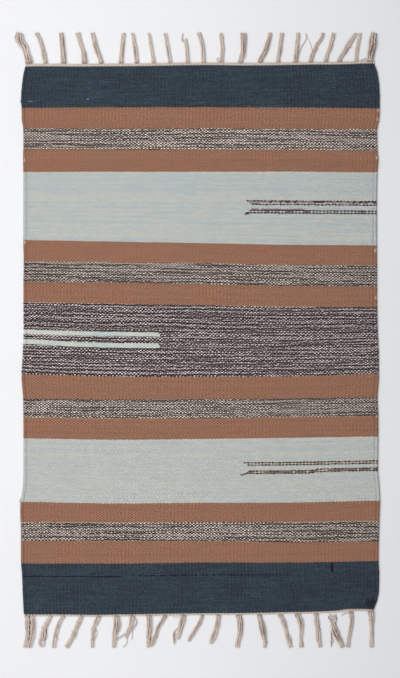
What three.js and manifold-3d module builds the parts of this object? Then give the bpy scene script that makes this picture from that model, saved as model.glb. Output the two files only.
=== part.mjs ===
// Hand-woven flat kilim rug, lying flat on a floor.
//
// Three pieces: the woven body, and at each end a comb of cream warp yarns,
// whose spine is the cream heading and whose teeth are the tassels.
// Millimetres, +Z up. X runs across the rug, Y along it, Z = 0 is the floor.
// The origin is the bottom centre of the whole rug, fringes included.

import * as THREE from 'three';
import Module from 'manifold-3d';

// ---------------------------------------------------------------- sizes, mm
const CLOTH_THICK = 3.0;      // weft-faced plain weave, middle of the cloth
const SELVEDGE_RISE = 0.5;    // doubled outer warps stand this much prouder
const EDGE_ROUND = 0.6;       // how far the rounded edges draw in, top and bottom
const EDGE_HEIGHT = 1.3;      // height of the widest line of the rounded edge
const UNEVEN = 0.25;          // soft hills and hollows of a hand-beaten cloth
const PIECE_GAP = 0.3;        // clearance between cloth and heading
const HEADING_WIDE = 4.4;     // cream heading along each end
const HEADING_THICK = 2.6;
const TASSEL_BITE = 2.0;      // how deep a tassel starts inside the heading
const TASSEL_FLATNESS = 0.55; // tassel height over its width
const TASSEL_LOW = 3.0;       // least and most height of a tassel
const TASSEL_HIGH = 6.5;
const TASSEL_STEPS = 6;       // sections along a tassel

// The two long edges, top end first: where each edge lies at a height Y.
const LONG_EDGES = [
  { y:  460.1, left: -293.6, right: 291.8 },
  { y:  453.4, left: -295.1, right: 294.7 },
  { y:  445.0, left: -297.0, right: 296.9 },
  { y:  428.2, left: -299.3, right: 299.4 },
  { y:  404.8, left: -301.0, right: 300.5 },
  { y:  388.0, left: -300.1, right: 300.4 },
  { y:  367.9, left: -299.7, right: 299.3 },
  { y:  351.1, left: -297.0, right: 295.8 },
  { y:  319.3, left: -297.3, right: 296.5 },
  { y:  300.8, left: -297.7, right: 298.0 },
  { y:  280.7, left: -297.2, right: 296.5 },
  { y:  233.8, left: -297.2, right: 295.5 },
  { y:  166.8, left: -297.2, right: 295.5 },
  { y:  129.9, left: -296.5, right: 295.8 },
  { y:   93.0, left: -297.0, right: 295.8 },
  { y:   57.8, left: -296.9, right: 296.1 },
  { y:   15.9, left: -296.6, right: 296.9 },
  { y:  -26.0, left: -298.3, right: 298.8 },
  { y:  -62.8, left: -300.2, right: 298.9 },
  { y:  -98.0, left: -297.6, right: 296.6 },
  { y: -131.6, left: -297.0, right: 298.0 },
  { y: -168.4, left: -297.0, right: 297.8 },
  { y: -218.7, left: -297.0, right: 297.3 },
  { y: -242.2, left: -297.6, right: 299.6 },
  { y: -270.7, left: -301.2, right: 300.8 },
  { y: -287.4, left: -302.5, right: 300.2 },
  { y: -319.3, left: -301.2, right: 299.3 },
  { y: -369.6, left: -301.2, right: 298.3 },
  { y: -393.0, left: -299.4, right: 299.5 },
  { y: -419.8, left: -298.4, right: 299.0 },
  { y: -436.6, left: -297.7, right: 296.5 },
  { y: -446.7, left: -297.1, right: 292.8 },
  { y: -456.7, left: -296.5, right: 289.8 },
];

// The two short ends, left to right: where each end lies at a place X.
const SHORT_ENDS = [
  { x: -295.8, near: -460.9, far: 457.9 },
  { x: -252.2, near: -460.2, far: 458.7 },
  { x: -217.0, near: -460.1, far: 457.5 },
  { x: -134.9, near: -460.1, far: 458.7 },
  { x:  -67.9, near: -459.2, far: 460.1 },
  { x:   -0.8, near: -458.7, far: 460.7 },
  { x:   69.6, near: -458.2, far: 460.1 },
  { x:  133.2, near: -457.7, far: 459.6 },
  { x:  200.3, near: -456.4, far: 459.9 },
  { x:  225.4, near: -454.9, far: 460.3 },
  { x:  250.6, near: -451.7, far: 460.7 },
  { x:  270.7, near: -451.1, far: 461.6 },
  { x:  294.1, near: -452.0, far: 462.6 },
];

// Sections across the cloth: a share of the width, moved in from the edge by
// inset, with the cloth's height there over its middle thickness.
const ACROSS = [
  { share: 0.00, inset:  EDGE_ROUND, rise: -0.5 },
  { share: 0.00, inset:  2.5,        rise: 0.8 * SELVEDGE_RISE },
  { share: 0.00, inset:  4.5,        rise: SELVEDGE_RISE },
  { share: 0.00, inset:  8.0,        rise: -0.1 },
  { share: 0.075, inset: 0.0, rise: 0.0 },
  { share: 0.135, inset: 0.0, rise: 0.0 },
  { share: 0.273, inset: 0.0, rise: 0.0 },
  { share: 0.386, inset: 0.0, rise: 0.0 },
  { share: 0.500, inset: 0.0, rise: 0.0 },
  { share: 0.617, inset: 0.0, rise: 0.0 },
  { share: 0.724, inset: 0.0, rise: 0.0 },
  { share: 0.837, inset: 0.0, rise: 0.0 },
  { share: 0.880, inset: 0.0, rise: 0.0 },
  { share: 0.922, inset: 0.0, rise: 0.0 },
  { share: 0.955, inset: 0.0, rise: 0.0 },
  { share: 1.00, inset: -8.0,        rise: -0.1 },
  { share: 1.00, inset: -4.5,        rise: SELVEDGE_RISE },
  { share: 1.00, inset: -2.5,        rise: 0.8 * SELVEDGE_RISE },
  { share: 1.00, inset: -EDGE_ROUND, rise: -0.5 },
];

// Tassels of the far end, left to right: where the middle line starts at the
// heading, passes halfway and ends, its width at both ends, and its length
// measured from the end of the cloth.
const FAR_TASSELS = [
  { root: -288.2, bend: -295.0, tip: -303.9, wide: 12.6, end: 12.2, reach: 53.4 },
  { root: -260.6, bend: -266.1, tip: -275.3, wide:  6.0, end:  7.5, reach: 53.9 },
  { root: -230.4, bend: -231.3, tip: -234.2, wide:  8.4, end:  9.9, reach: 53.6 },
  { root: -194.8, bend: -199.0, tip: -206.5, wide:  9.2, end:  8.4, reach: 54.1 },
  { root: -168.0, bend: -173.9, tip: -181.3, wide:  7.5, end:  7.2, reach: 53.6 },
  { root: -133.2, bend: -131.6, tip: -129.1, wide:  6.7, end:  6.7, reach: 54.3 },
  { root: -107.3, bend: -110.4, tip: -114.4, wide:  6.7, end:  5.6, reach: 53.4 },
  { root:  -80.2, bend:  -82.7, tip:  -87.0, wide:  6.0, end:  5.6, reach: 53.8 },
  { root:  -51.8, bend:  -55.3, tip:  -59.0, wide:  6.0, end:  5.8, reach: 53.9 },
  { root:  -22.9, bend:  -23.5, tip:  -30.3, wide:  6.2, end:  5.8, reach: 53.4 },
  { root:    6.3, bend:    4.6, tip:   -5.0, wide:  5.8, end:  6.7, reach: 54.1 },
  { root:   34.9, bend:   37.0, tip:   32.3, wide:  6.2, end:  6.7, reach: 53.4 },
  { root:   68.3, bend:   71.1, tip:   70.8, wide:  9.2, end:  9.2, reach: 53.8 },
  { root:  100.1, bend:  109.8, tip:  116.1, wide:  9.2, end:  7.5, reach: 54.1 },
  { root:  129.5, bend:  131.6, tip:  135.8, wide:  6.2, end:  6.7, reach: 53.6 },
  { root:  159.2, bend:  160.9, tip:  163.0, wide:  8.4, end:  6.2, reach: 53.9 },
  { root:  186.9, bend:  191.5, tip:  205.3, wide:  6.7, end:  5.8, reach: 53.4 },
  { root:  211.6, bend:  216.2, tip:  221.7, wide:  5.8, end:  7.5, reach: 53.9 },
  { root:  233.0, bend:  244.7, tip:  256.8, wide:  8.4, end:  6.2, reach: 53.8 },
  { root:  259.4, bend:  261.5, tip:  267.6, wide:  6.2, end:  5.6, reach: 53.6 },
  { root:  284.1, bend:  286.6, tip:  291.6, wide:  8.4, end: 11.7, reach: 54.4 },
];

// Tassels of the near end, left to right, in the same columns.
const NEAR_TASSELS = [
  { root: -286.2, bend: -286.2, tip: -288.0, wide: 15.9, end: 17.6, reach: 56.0 },
  { root: -253.9, bend: -263.6, tip: -268.5, wide:  6.7, end: 12.0, reach: 54.8 },
  { root: -232.1, bend: -243.0, tip: -246.4, wide:  6.7, end:  6.7, reach: 55.6 },
  { root: -202.0, bend: -211.2, tip: -226.7, wide:  6.7, end:  8.4, reach: 55.0 },
  { root: -173.0, bend: -178.5, tip: -181.8, wide:  7.5, end:  6.7, reach: 54.3 },
  { root: -141.2, bend: -142.5, tip: -145.4, wide: 10.9, end:  7.5, reach: 55.8 },
  { root: -113.1, bend: -118.2, tip: -128.2, wide: 10.1, end:  6.7, reach: 55.0 },
  { root:  -87.2, bend:  -86.7, tip:  -88.8, wide: 10.1, end:  6.7, reach: 55.3 },
  { root:  -63.7, bend:  -72.0, tip:  -78.6, wide:  8.4, end:  6.7, reach: 54.0 },
  { root:  -31.0, bend:  -35.2, tip:  -40.2, wide: 10.1, end: 10.7, reach: 50.3 },
  { root:   -1.3, bend:  -10.9, tip:  -18.4, wide:  6.2, end:  6.7, reach: 47.6 },
  { root:   29.7, bend:   26.0, tip:   18.0, wide:  7.5, end:  7.5, reach: 50.4 },
  { root:   64.5, bend:   64.5, tip:   60.8, wide: 10.1, end:  7.5, reach: 56.3 },
  { root:   98.9, bend:  104.8, tip:  109.4, wide:  8.4, end:  7.5, reach: 56.6 },
  { root:  134.9, bend:  143.7, tip:  150.4, wide:  6.7, end:  6.2, reach: 57.2 },
  { root:  163.4, bend:  167.6, tip:  169.3, wide: 10.1, end: 10.1, reach: 57.4 },
  { root:  194.0, bend:  195.3, tip:  199.4, wide:  9.2, end:  8.4, reach: 58.0 },
  { root:  220.8, bend:  225.4, tip:  234.5, wide: 11.6, end: 10.1, reach: 60.6 },
  { root:  252.2, bend:  252.2, tip:  247.4, wide:  7.0, end:  8.0, reach: 63.0 },
  { root:  284.5, bend:  285.8, tip:  285.3, wide: 10.9, end:  7.5, reach: 63.5 },
];

// ------------------------------------------------------------ small helpers
// Reads a column of a table between its rows, in a straight line.
function between(rows, key, at, column) {
  const up = rows[0][key] < rows[rows.length - 1][key];
  const list = up ? rows : [...rows].reverse();
  if (at <= list[0][key]) return list[0][column];
  for (let i = 1; i < list.length; i++) {
    const a = list[i - 1], b = list[i];
    if (at <= b[key]) {
      const t = (at - a[key]) / (b[key] - a[key]);
      return a[column] + (b[column] - a[column]) * t;
    }
  }
  return list[list.length - 1][column];
}

const leftEdge = (y) => between(LONG_EDGES, 'y', y, 'left');
const rightEdge = (y) => between(LONG_EDGES, 'y', y, 'right');
const nearEnd = (x) => between(SHORT_ENDS, 'x', x, 'near');
const farEnd = (x) => between(SHORT_ENDS, 'x', x, 'far');

function geometryFrom(points, faces) {
  const geometry = new THREE.BufferGeometry();
  geometry.setAttribute('position', new THREE.Float32BufferAttribute(points.flat(), 3));
  geometry.setIndex(faces.flat());
  geometry.computeVertexNormals();
  return geometry;
}

const fabric = (color) => new THREE.MeshStandardMaterial({ color, roughness: 0.95, metalness: 0 });

// ---------------------------------------------------------- the woven body
// Gentle hills and hollows, none of them lower than the floor.
function uneven(x, y) {
  return UNEVEN * (0.6 * Math.sin(x / 61 + y / 143) * Math.cos(y / 87) + 0.4 * Math.sin(y / 37 - x / 190));
}

function wovenBody() {
  const top = LONG_EDGES[0].y, bottom = LONG_EDGES[LONG_EDGES.length - 1].y;
  // Rows along the length: one close to each end, then one for each row of
  // the edge table between them.
  const along = [{ at: top, draw: EDGE_ROUND, drop: -0.5 }, { at: top, draw: 3, drop: 0.1 }];
  for (const row of LONG_EDGES.slice(1, -1)) along.push({ at: row.y, draw: 0, drop: 0 });
  along.push({ at: bottom, draw: -3, drop: 0.1 }, { at: bottom, draw: -EDGE_ROUND, drop: -0.5 });

  // A place on the cloth from its share of the width and its height Y. The
  // rows bend with the two ends, and the columns with the two long edges.
  function place(share, inset, at, draw) {
    const left = leftEdge(at), right = rightEdge(at);
    const x = left + (right - left) * share + inset;
    const t = (at - bottom) / (top - bottom);
    const y = nearEnd(x) + (farEnd(x) - nearEnd(x)) * t - draw;
    return [x, y];
  }

  const points = [], faces = [];
  const nAcross = ACROSS.length, nAlong = along.length;
  for (const row of along) {
    for (const col of ACROSS) {
      const [x, y] = place(col.share, col.inset, row.at, row.draw);
      const low = Math.min(col.rise, row.drop);
      const rise = low < -0.3 ? low : col.rise + row.drop;
      points.push([x, y, CLOTH_THICK + rise + (low < -0.3 ? 0 : uneven(x, y))]);
    }
  }
  const id = (r, c) => r * nAcross + c;
  for (let r = 0; r < nAlong - 1; r++) {
    for (let c = 0; c < nAcross - 1; c++) {
      const a = id(r, c), b = id(r, c + 1), d = id(r + 1, c), e = id(r + 1, c + 1);
      faces.push([a, d, b], [b, d, e]);
    }
  }

  // The edge ring of the top, going round once with the cloth on its left.
  const ring = [];
  for (let r = 0; r < nAlong; r++) ring.push([r, 0]);
  for (let c = 1; c < nAcross; c++) ring.push([nAlong - 1, c]);
  for (let r = nAlong - 2; r >= 0; r--) ring.push([r, nAcross - 1]);
  for (let c = nAcross - 2; c > 0; c--) ring.push([0, c]);

  // Under it, the widest line of the rounded edge and the flat underside.
  const middle = [], under = [];
  for (const [r, c] of ring) {
    const row = along[r], col = ACROSS[c];
    const out = (edge, value, sign) => (edge ? value - sign * EDGE_ROUND : value);
    const inset = out(c === 0, col.inset, 1) + (c === nAcross - 1 ? EDGE_ROUND : 0);
    const draw = out(r === 0, row.draw, 1) + (r === nAlong - 1 ? EDGE_ROUND : 0);
    const [mx, my] = place(col.share, inset, row.at, draw);
    middle.push(points.push([mx, my, EDGE_HEIGHT]) - 1);
    const [ux, uy] = place(col.share, col.inset, row.at, row.draw);
    under.push(points.push([ux, uy, 0]) - 1);
  }
  const n = ring.length;
  for (let i = 0; i < n; i++) {
    const j = (i + 1) % n;
    const t0 = id(...ring[i]), t1 = id(...ring[j]);
    faces.push([t0, middle[i], t1], [t1, middle[i], middle[j]]);
    faces.push([middle[i], under[i], middle[j]], [middle[j], under[i], under[j]]);
  }
  // The underside is one flat face, cut into triangles.
  const outline = under.map((k) => new THREE.Vector2(points[k][0], points[k][1]));
  const clockwise = THREE.ShapeUtils.isClockWise(outline);
  for (const [a, b, c] of THREE.ShapeUtils.triangulateShape(outline, [])) {
    faces.push(clockwise ? [under[a], under[b], under[c]] : [under[a], under[c], under[b]]);
  }
  return geometryFrom(points, faces);
}

// --------------------------------------------------------- the two fringes
const wasm = await Module();
wasm.setup();

function solidFrom(points, faces) {
  return new wasm.Manifold(new wasm.Mesh({
    numProp: 3,
    vertProperties: new Float32Array(points.flat()),
    triVerts: new Uint32Array(faces.flat()),
  }));
}

// Skins a row of closed sections and caps both ends.
function loft(sections) {
  const points = sections.flat(), faces = [], n = sections[0].length, last = sections.length - 1;
  for (let s = 0; s < last; s++) {
    for (let i = 0; i < n; i++) {
      const j = (i + 1) % n, a = s * n + i, b = s * n + j, c = a + n, d = b + n;
      faces.push([a, c, b], [b, c, d]);
    }
  }
  for (let i = 1; i < n - 1; i++) {
    faces.push([0, i, i + 1], [last * n, last * n + i + 1, last * n + i]);
  }
  return { points, faces };
}

// Turns the faces of a closed shell over where it is inside out.
function outward({ points, faces }) {
  let volume = 0;
  for (const [a, b, c] of faces) {
    const [p, q, r] = [points[a], points[b], points[c]];
    volume += p[0] * (q[1] * r[2] - q[2] * r[1]) + p[1] * (q[2] * r[0] - q[0] * r[2]) + p[2] * (q[0] * r[1] - q[1] * r[0]);
  }
  return { points, faces: volume < 0 ? faces.map(([a, b, c]) => [a, c, b]) : faces };
}

// A tassel's section: flat on the floor, rounded above, in shares of its
// half width and its height.
const TASSEL_SECTION = [
  { side: -0.60, up: 0.00 }, { side: 0.60, up: 0.00 }, { side: 1.00, up: 0.34 }, { side: 0.88, up: 0.72 },
  { side: 0.42, up: 1.00 }, { side: -0.42, up: 1.00 }, { side: -0.88, up: 0.72 }, { side: -1.00, up: 0.34 },
];

// outwards is +1 at the far end and -1 at the near end.
function tasselSolid({ root, bend, tip, wide, end, reach }, endLine, outwards) {
  const start = endLine(root);
  const sections = [];
  for (let s = 0; s <= TASSEL_STEPS; s++) {
    const t = s / TASSEL_STEPS;
    const x = root * (1 - t) * (1 - 2 * t) + bend * 4 * t * (1 - t) + tip * t * (2 * t - 1);
    const y = start + outwards * (TASSEL_BITE + (reach - TASSEL_BITE) * t);
    const half = (wide + (end - wide) * t) / 2;
    const high = Math.min(TASSEL_HIGH, Math.max(TASSEL_LOW, 2 * half * TASSEL_FLATNESS));
    sections.push(TASSEL_SECTION.map(({ side, up }) => [x + side * half, y, up * high]));
  }
  const { points, faces } = outward(loft(sections));
  return solidFrom(points, faces);
}

function headingSolid(endLine, outwards) {
  // One section under each column of the cloth, so the gap stays even.
  const y = outwards > 0 ? LONG_EDGES[0].y : LONG_EDGES[LONG_EDGES.length - 1].y;
  const from = leftEdge(y), to = rightEdge(y);
  const stations = ACROSS.map((col, c) => (c === 0 ? from : c === ACROSS.length - 1 ? to : from + (to - from) * col.share + col.inset));
  const sections = stations.map((x) => {
    const inner = endLine(x) + outwards * PIECE_GAP, outer = inner + outwards * HEADING_WIDE;
    const chamfer = outwards * 0.8;
    return [[x, inner, 0], [x, outer, 0], [x, outer, 1.6], [x, outer - chamfer, HEADING_THICK],
      [x, inner + chamfer, HEADING_THICK], [x, inner, 1.6]];
  });
  const { points, faces } = outward(loft(sections));
  return solidFrom(points, faces);
}

function fringe(tassels, endLine, outwards) {
  let comb = headingSolid(endLine, outwards);
  for (const row of tassels) comb = comb.add(tasselSolid(row, endLine, outwards));
  const mesh = comb.getMesh(), geometry = new THREE.BufferGeometry();
  geometry.setAttribute('position', new THREE.Float32BufferAttribute(mesh.vertProperties, 3));
  geometry.setIndex([...mesh.triVerts]);
  geometry.computeVertexNormals();
  return geometry;
}

// ------------------------------------------------------------- the whole rug
const rug = new THREE.Group();

const body = new THREE.Mesh(wovenBody(), fabric(0x8f8279));
body.name = 'woven_body';

const farFringe = new THREE.Mesh(fringe(FAR_TASSELS, farEnd, 1), fabric(0xcfc0b0));
farFringe.name = 'fringe_far';

const nearFringe = new THREE.Mesh(fringe(NEAR_TASSELS, nearEnd, -1), fabric(0xcdbeae));
nearFringe.name = 'fringe_near';

rug.add(body, farFringe, nearFringe);

// The origin goes to the bottom centre of the whole rug.
const box = new THREE.Box3().setFromObject(rug);
rug.position.set(-(box.min.x + box.max.x) / 2, -(box.min.y + box.max.y) / 2, -box.min.z);
rug.updateMatrixWorld(true);

export default rug;
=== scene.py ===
import math

import bmesh
import bpy
import numpy as np
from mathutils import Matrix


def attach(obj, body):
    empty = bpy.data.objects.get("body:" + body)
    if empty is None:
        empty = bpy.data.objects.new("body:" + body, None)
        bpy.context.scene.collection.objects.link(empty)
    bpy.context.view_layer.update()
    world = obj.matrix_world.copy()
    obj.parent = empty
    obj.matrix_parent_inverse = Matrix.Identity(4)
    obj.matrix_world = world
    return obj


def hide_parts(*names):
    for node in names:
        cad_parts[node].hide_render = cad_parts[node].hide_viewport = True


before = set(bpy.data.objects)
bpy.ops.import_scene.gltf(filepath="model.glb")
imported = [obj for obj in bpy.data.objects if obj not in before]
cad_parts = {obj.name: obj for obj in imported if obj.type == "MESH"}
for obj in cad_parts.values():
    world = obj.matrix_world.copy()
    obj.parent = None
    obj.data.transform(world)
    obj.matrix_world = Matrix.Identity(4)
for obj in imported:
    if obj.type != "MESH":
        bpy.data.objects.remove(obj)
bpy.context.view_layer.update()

ROOT = "root"
SHIFT = (4.6, 0.0866)          # drawing frame to row frame, mm


def in_frame(p):
    return (np.asarray(p, float) + np.array([SHIFT[0], SHIFT[1], 0.0])) * 0.001


# ============================================================ the cloth: tables
WARPS = 204
THICK = 3.0
SELVEDGE_RISE = 0.5
EDGE_HEIGHT = 1.3              # the widest line of the rounded long edges
EDGE_ROUND = 0.6

# The two long edges, near end first: y, left x, right x.
LONG_EDGES = np.array([
    (-456.7, -296.5, 289.8), (-446.7, -297.1, 292.8), (-436.6, -297.7, 296.5), (-419.8, -298.4, 299.0),
    (-393.0, -299.4, 299.5), (-369.6, -301.2, 298.3), (-319.3, -301.2, 299.3), (-287.4, -302.5, 300.2),
    (-270.7, -301.2, 300.8), (-242.2, -297.6, 299.6), (-218.7, -297.0, 297.3), (-168.4, -297.0, 297.8),
    (-131.6, -297.0, 298.0), (-98.0, -297.6, 296.6), (-62.8, -300.2, 298.9), (-26.0, -298.3, 298.8),
    (15.9, -296.6, 296.9), (57.8, -296.9, 296.1), (93.0, -297.0, 295.8), (129.9, -296.5, 295.8),
    (166.8, -297.2, 295.5), (233.8, -297.2, 295.5), (280.7, -297.2, 296.5), (300.8, -297.7, 298.0),
    (319.3, -297.3, 296.5), (351.1, -297.0, 295.8), (367.9, -299.7, 299.3), (388.0, -300.1, 300.4),
    (404.8, -301.0, 300.5), (428.2, -299.3, 299.4), (445.0, -297.0, 296.9), (453.4, -295.1, 294.7),
    (460.1, -293.6, 291.8),
])

# The two short ends: x, near y, far y.
SHORT_ENDS = np.array([
    (-295.8, -461.0, 458.0), (-252.2, -460.8, 458.2), (-217.0, -461.0, 457.9), (-175.0, -461.7, 458.1),
    (-134.9, -461.2, 458.3), (-67.9, -460.3, 459.2), (-0.8, -459.1, 460.4), (69.6, -458.6, 459.7),
    (133.2, -457.3, 460.2), (200.3, -456.0, 461.1), (225.4, -454.9, 461.2), (250.6, -452.2, 462.0),
    (270.7, -452.2, 462.8), (294.1, -453.6, 463.3),
])

# Stripes, far end first: yarn, number of picks, and where the stripe's far edge
# lies at five places across (hand-beaten rows are never quite straight).
ACROSS_AT = np.array([-285.8, -134.9, -0.8, 133.2, 284.1])
STRIPES = [
    ("blue",     36, None),
    ("brown",    18, (388.5, 389.3, 389.2, 389.0, 387.5)),
    ("marl",     18, (353.8, 353.1, 354.1, 353.1, 352.3)),
    ("brown",    19, (318.3, 318.3, 318.3, 317.6, 316.1)),
    ("ice",      61, (280.7, 281.1, 281.1, 281.4, 280.1)),
    ("brown",    17, (166.6, 163.9, 161.7, 158.9, 158.0)),
    ("marl",     18, (131.1, 129.4, 127.9, 125.2, 123.9)),
    ("brown",    18, (96.5, 95.0, 92.5, 90.0, 88.8)),
    ("charcoal", 61, (62.3, 59.5, 57.5, 54.8, 54.1)),
    ("brown",    19, (-58.0, -62.2, -62.5, -61.8, -57.8)),
    ("marl",     17, (-99.0, -100.7, -99.9, -99.0, -96.4)),
    ("brown",    17, (-130.6, -131.9, -132.1, -130.2, -128.2)),
    ("ice",      54, (-165.8, -168.1, -166.8, -165.1, -162.7)),
    ("brown",    16, (-272.2, -274.9, -273.7, -273.5, -270.2)),
    ("marl",     16, (-306.2, -306.9, -306.2, -306.2, -304.2)),
    ("brown",    18, (-337.0, -337.4, -337.7, -339.7, -339.0)),
    ("blue",     43, (-375.3, -375.6, -373.9, -373.9, -371.4)),
]
STARTS = np.concatenate([[0], np.cumsum([s[1] for s in STRIPES])])   # first pick of each stripe
PICKS = int(STARTS[-1])


def read_table(xs, ys, at):
    """A table read along a smooth curve that never overshoots its rows."""
    xs, ys = np.asarray(xs, float), np.asarray(ys, float)
    at = np.clip(np.asarray(at, float), xs[0], xs[-1])
    h = np.diff(xs)
    d = np.diff(ys) / h
    m = np.zeros(len(xs))
    m[0], m[-1] = d[0], d[-1]
    w1, w2 = 2 * h[1:] + h[:-1], h[1:] + 2 * h[:-1]
    with np.errstate(divide="ignore", invalid="ignore"):
        mid = (w1 + w2) / (w1 / d[:-1] + w2 / d[1:])
    m[1:-1] = np.where(d[:-1] * d[1:] > 0, mid, 0.0)
    i = np.clip(np.searchsorted(xs, at, side="right") - 1, 0, len(h) - 1)
    t = (at - xs[i]) / h[i]
    return (
        (1 + 2 * t) * (1 - t) ** 2 * ys[i] + t * (1 - t) ** 2 * h[i] * m[i]
        + t * t * (3 - 2 * t) * ys[i + 1] + t * t * (t - 1) * h[i] * m[i + 1]
    )


def left_edge(y):
    return read_table(LONG_EDGES[:, 0], LONG_EDGES[:, 1], y)


def right_edge(y):
    return read_table(LONG_EDGES[:, 0], LONG_EDGES[:, 2], y)


def near_end(x):
    return read_table(SHORT_ENDS[:, 0], SHORT_ENDS[:, 1], x)


def far_end(x):
    return read_table(SHORT_ENDS[:, 0], SHORT_ENDS[:, 2], x)


def row_height(pick, x):
    """Y of a pick coordinate at X. A colour change is half a pick after its first pick, where the scalloped line has its middle."""
    edges = [far_end(x)] + [read_table(ACROSS_AT, s[2], x) for s in STRIPES[1:]] + [near_end(x)]
    edges = np.stack(np.broadcast_arrays(*edges))
    at = np.asarray(pick, float) - 0.5
    k = np.clip(np.searchsorted(STARTS, at, side="right") - 1, 0, len(STRIPES) - 1)
    t = (at - STARTS[k]) / (STARTS[k + 1] - STARTS[k])
    a = np.take_along_axis(edges, k[None], 0)[0]
    b = np.take_along_axis(edges, k[None] + 1, 0)[0]
    return a + (b - a) * t


def wobble(a, b, seed, scale_a, scale_b):
    """Smooth repeatable unevenness made of a few waves, roughly -1 to 1."""
    r = np.random.default_rng(seed)
    out, amp, total = 0.0, 1.0, 0.0
    for _ in range(9):
        fa, fb, ph, way = r.uniform(0.6, 1.7), r.uniform(0.6, 1.7), r.uniform(0, 2 * math.pi), r.choice([-1, 1])
        out = out + amp * np.sin(a * fa / scale_a + way * b * fb / scale_b + ph)
        total += amp
        amp *= 0.85
    return out / total * 1.8


def place(warp, pick):
    """(x, y) of a place on the cloth."""
    warp, pick = np.broadcast_arrays(np.asarray(warp, float), np.asarray(pick, float))
    share = warp / WARPS
    x = -297 + 594 * share
    for _ in range(3):
        y = row_height(pick, x)
        x = left_edge(y) + (right_edge(y) - left_edge(y)) * share
    return x, y


PICK_SLUB = np.random.default_rng(5).normal(0, 1, PICKS + 8)


def cloth_top(warp, pick):
    """Height of the face of the cloth."""
    x, y = place(warp, pick)
    z = THICK - 0.28 + 0.22 * wobble(x, y, 1, 60, 85) + 0.10 * wobble(x, y, 2, 17, 14)
    # each weft row lies a little higher or lower, and swells and thins along its run
    k = np.clip(np.floor(pick).astype(int), 0, PICKS)
    z = z + 0.05 * PICK_SLUB[k] + 0.06 * wobble(warp, k * 7.31, 3, 8, 1.0)
    # doubled outer warps, and the groove beside them
    for e in (warp, WARPS - warp):
        z = z + SELVEDGE_RISE * 0.9 * np.exp(-(((e - 1.0) / 0.75) ** 2)) - 0.5 * np.exp(-(((e - 1.95) / 0.34) ** 2))
    return z


# =================================================== the cloth: one closed mesh
def lobes(warp, odd):
    """0 to 1: how far the last weft row reaches out at a warp, as it turns over every second one."""
    c = 0.5 + 0.5 * np.cos(math.pi * (np.asarray(warp, float) - 0.5))
    return (1 - c if odd else c) ** 0.8


class Grid:
    """Vertices of the cloth, with weave coordinates and two flat places for the bake."""

    def __init__(self):
        self.xyz, self.weave, self.top_uv, self.low_uv, self.faces, self.low = [], [], [], [], [], []
        self.n = 0

    def add(self, x, y, z, warp, pick, out_u=0.0, out_v=0.0):
        shape = np.broadcast(x, y, z, warp, pick).shape
        b = [np.broadcast_to(np.asarray(q, float), shape).ravel() for q in (x, y, z, warp, pick, out_u, out_v)]
        x, y, z, warp, pick, ou, ov = b
        self.xyz.append(np.stack([x, y, z], 1))
        self.weave.append(np.stack([warp, pick, np.zeros_like(warp)], 1))
        # millimetres along and across the cloth, spread out flat
        self.top_uv.append(np.stack([pick * 1.975 + ou, warp * 2.93 + ov], 1))
        self.low_uv.append(np.stack([pick * 1.975, warp * 2.93], 1))
        ids = self.n + np.arange(x.size).reshape(shape)
        self.n += x.size
        return ids

    def quads(self, g, low=False):
        a, b, c, d = g[:-1, :-1].ravel(), g[:-1, 1:].ravel(), g[1:, 1:].ravel(), g[1:, :-1].ravel()
        self.faces += [tuple(f) for f in np.stack([a, d, c, b], 1).tolist()]
        self.low += [low] * a.size

    def stitch(self, p, q, tp, tq, low=False):
        """Joins two rows of vertices that run the same way at different spacings."""
        i = j = 0
        while i < len(p) - 1 or j < len(q) - 1:
            if j == len(q) - 1 or (i < len(p) - 1 and tp[i + 1] <= tq[j + 1]):
                self.faces.append((int(p[i]), int(q[j]), int(p[i + 1])))
                i += 1
            else:
                self.faces.append((int(p[i]), int(q[j]), int(q[j + 1])))
                j += 1
            self.low.append(low)


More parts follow.
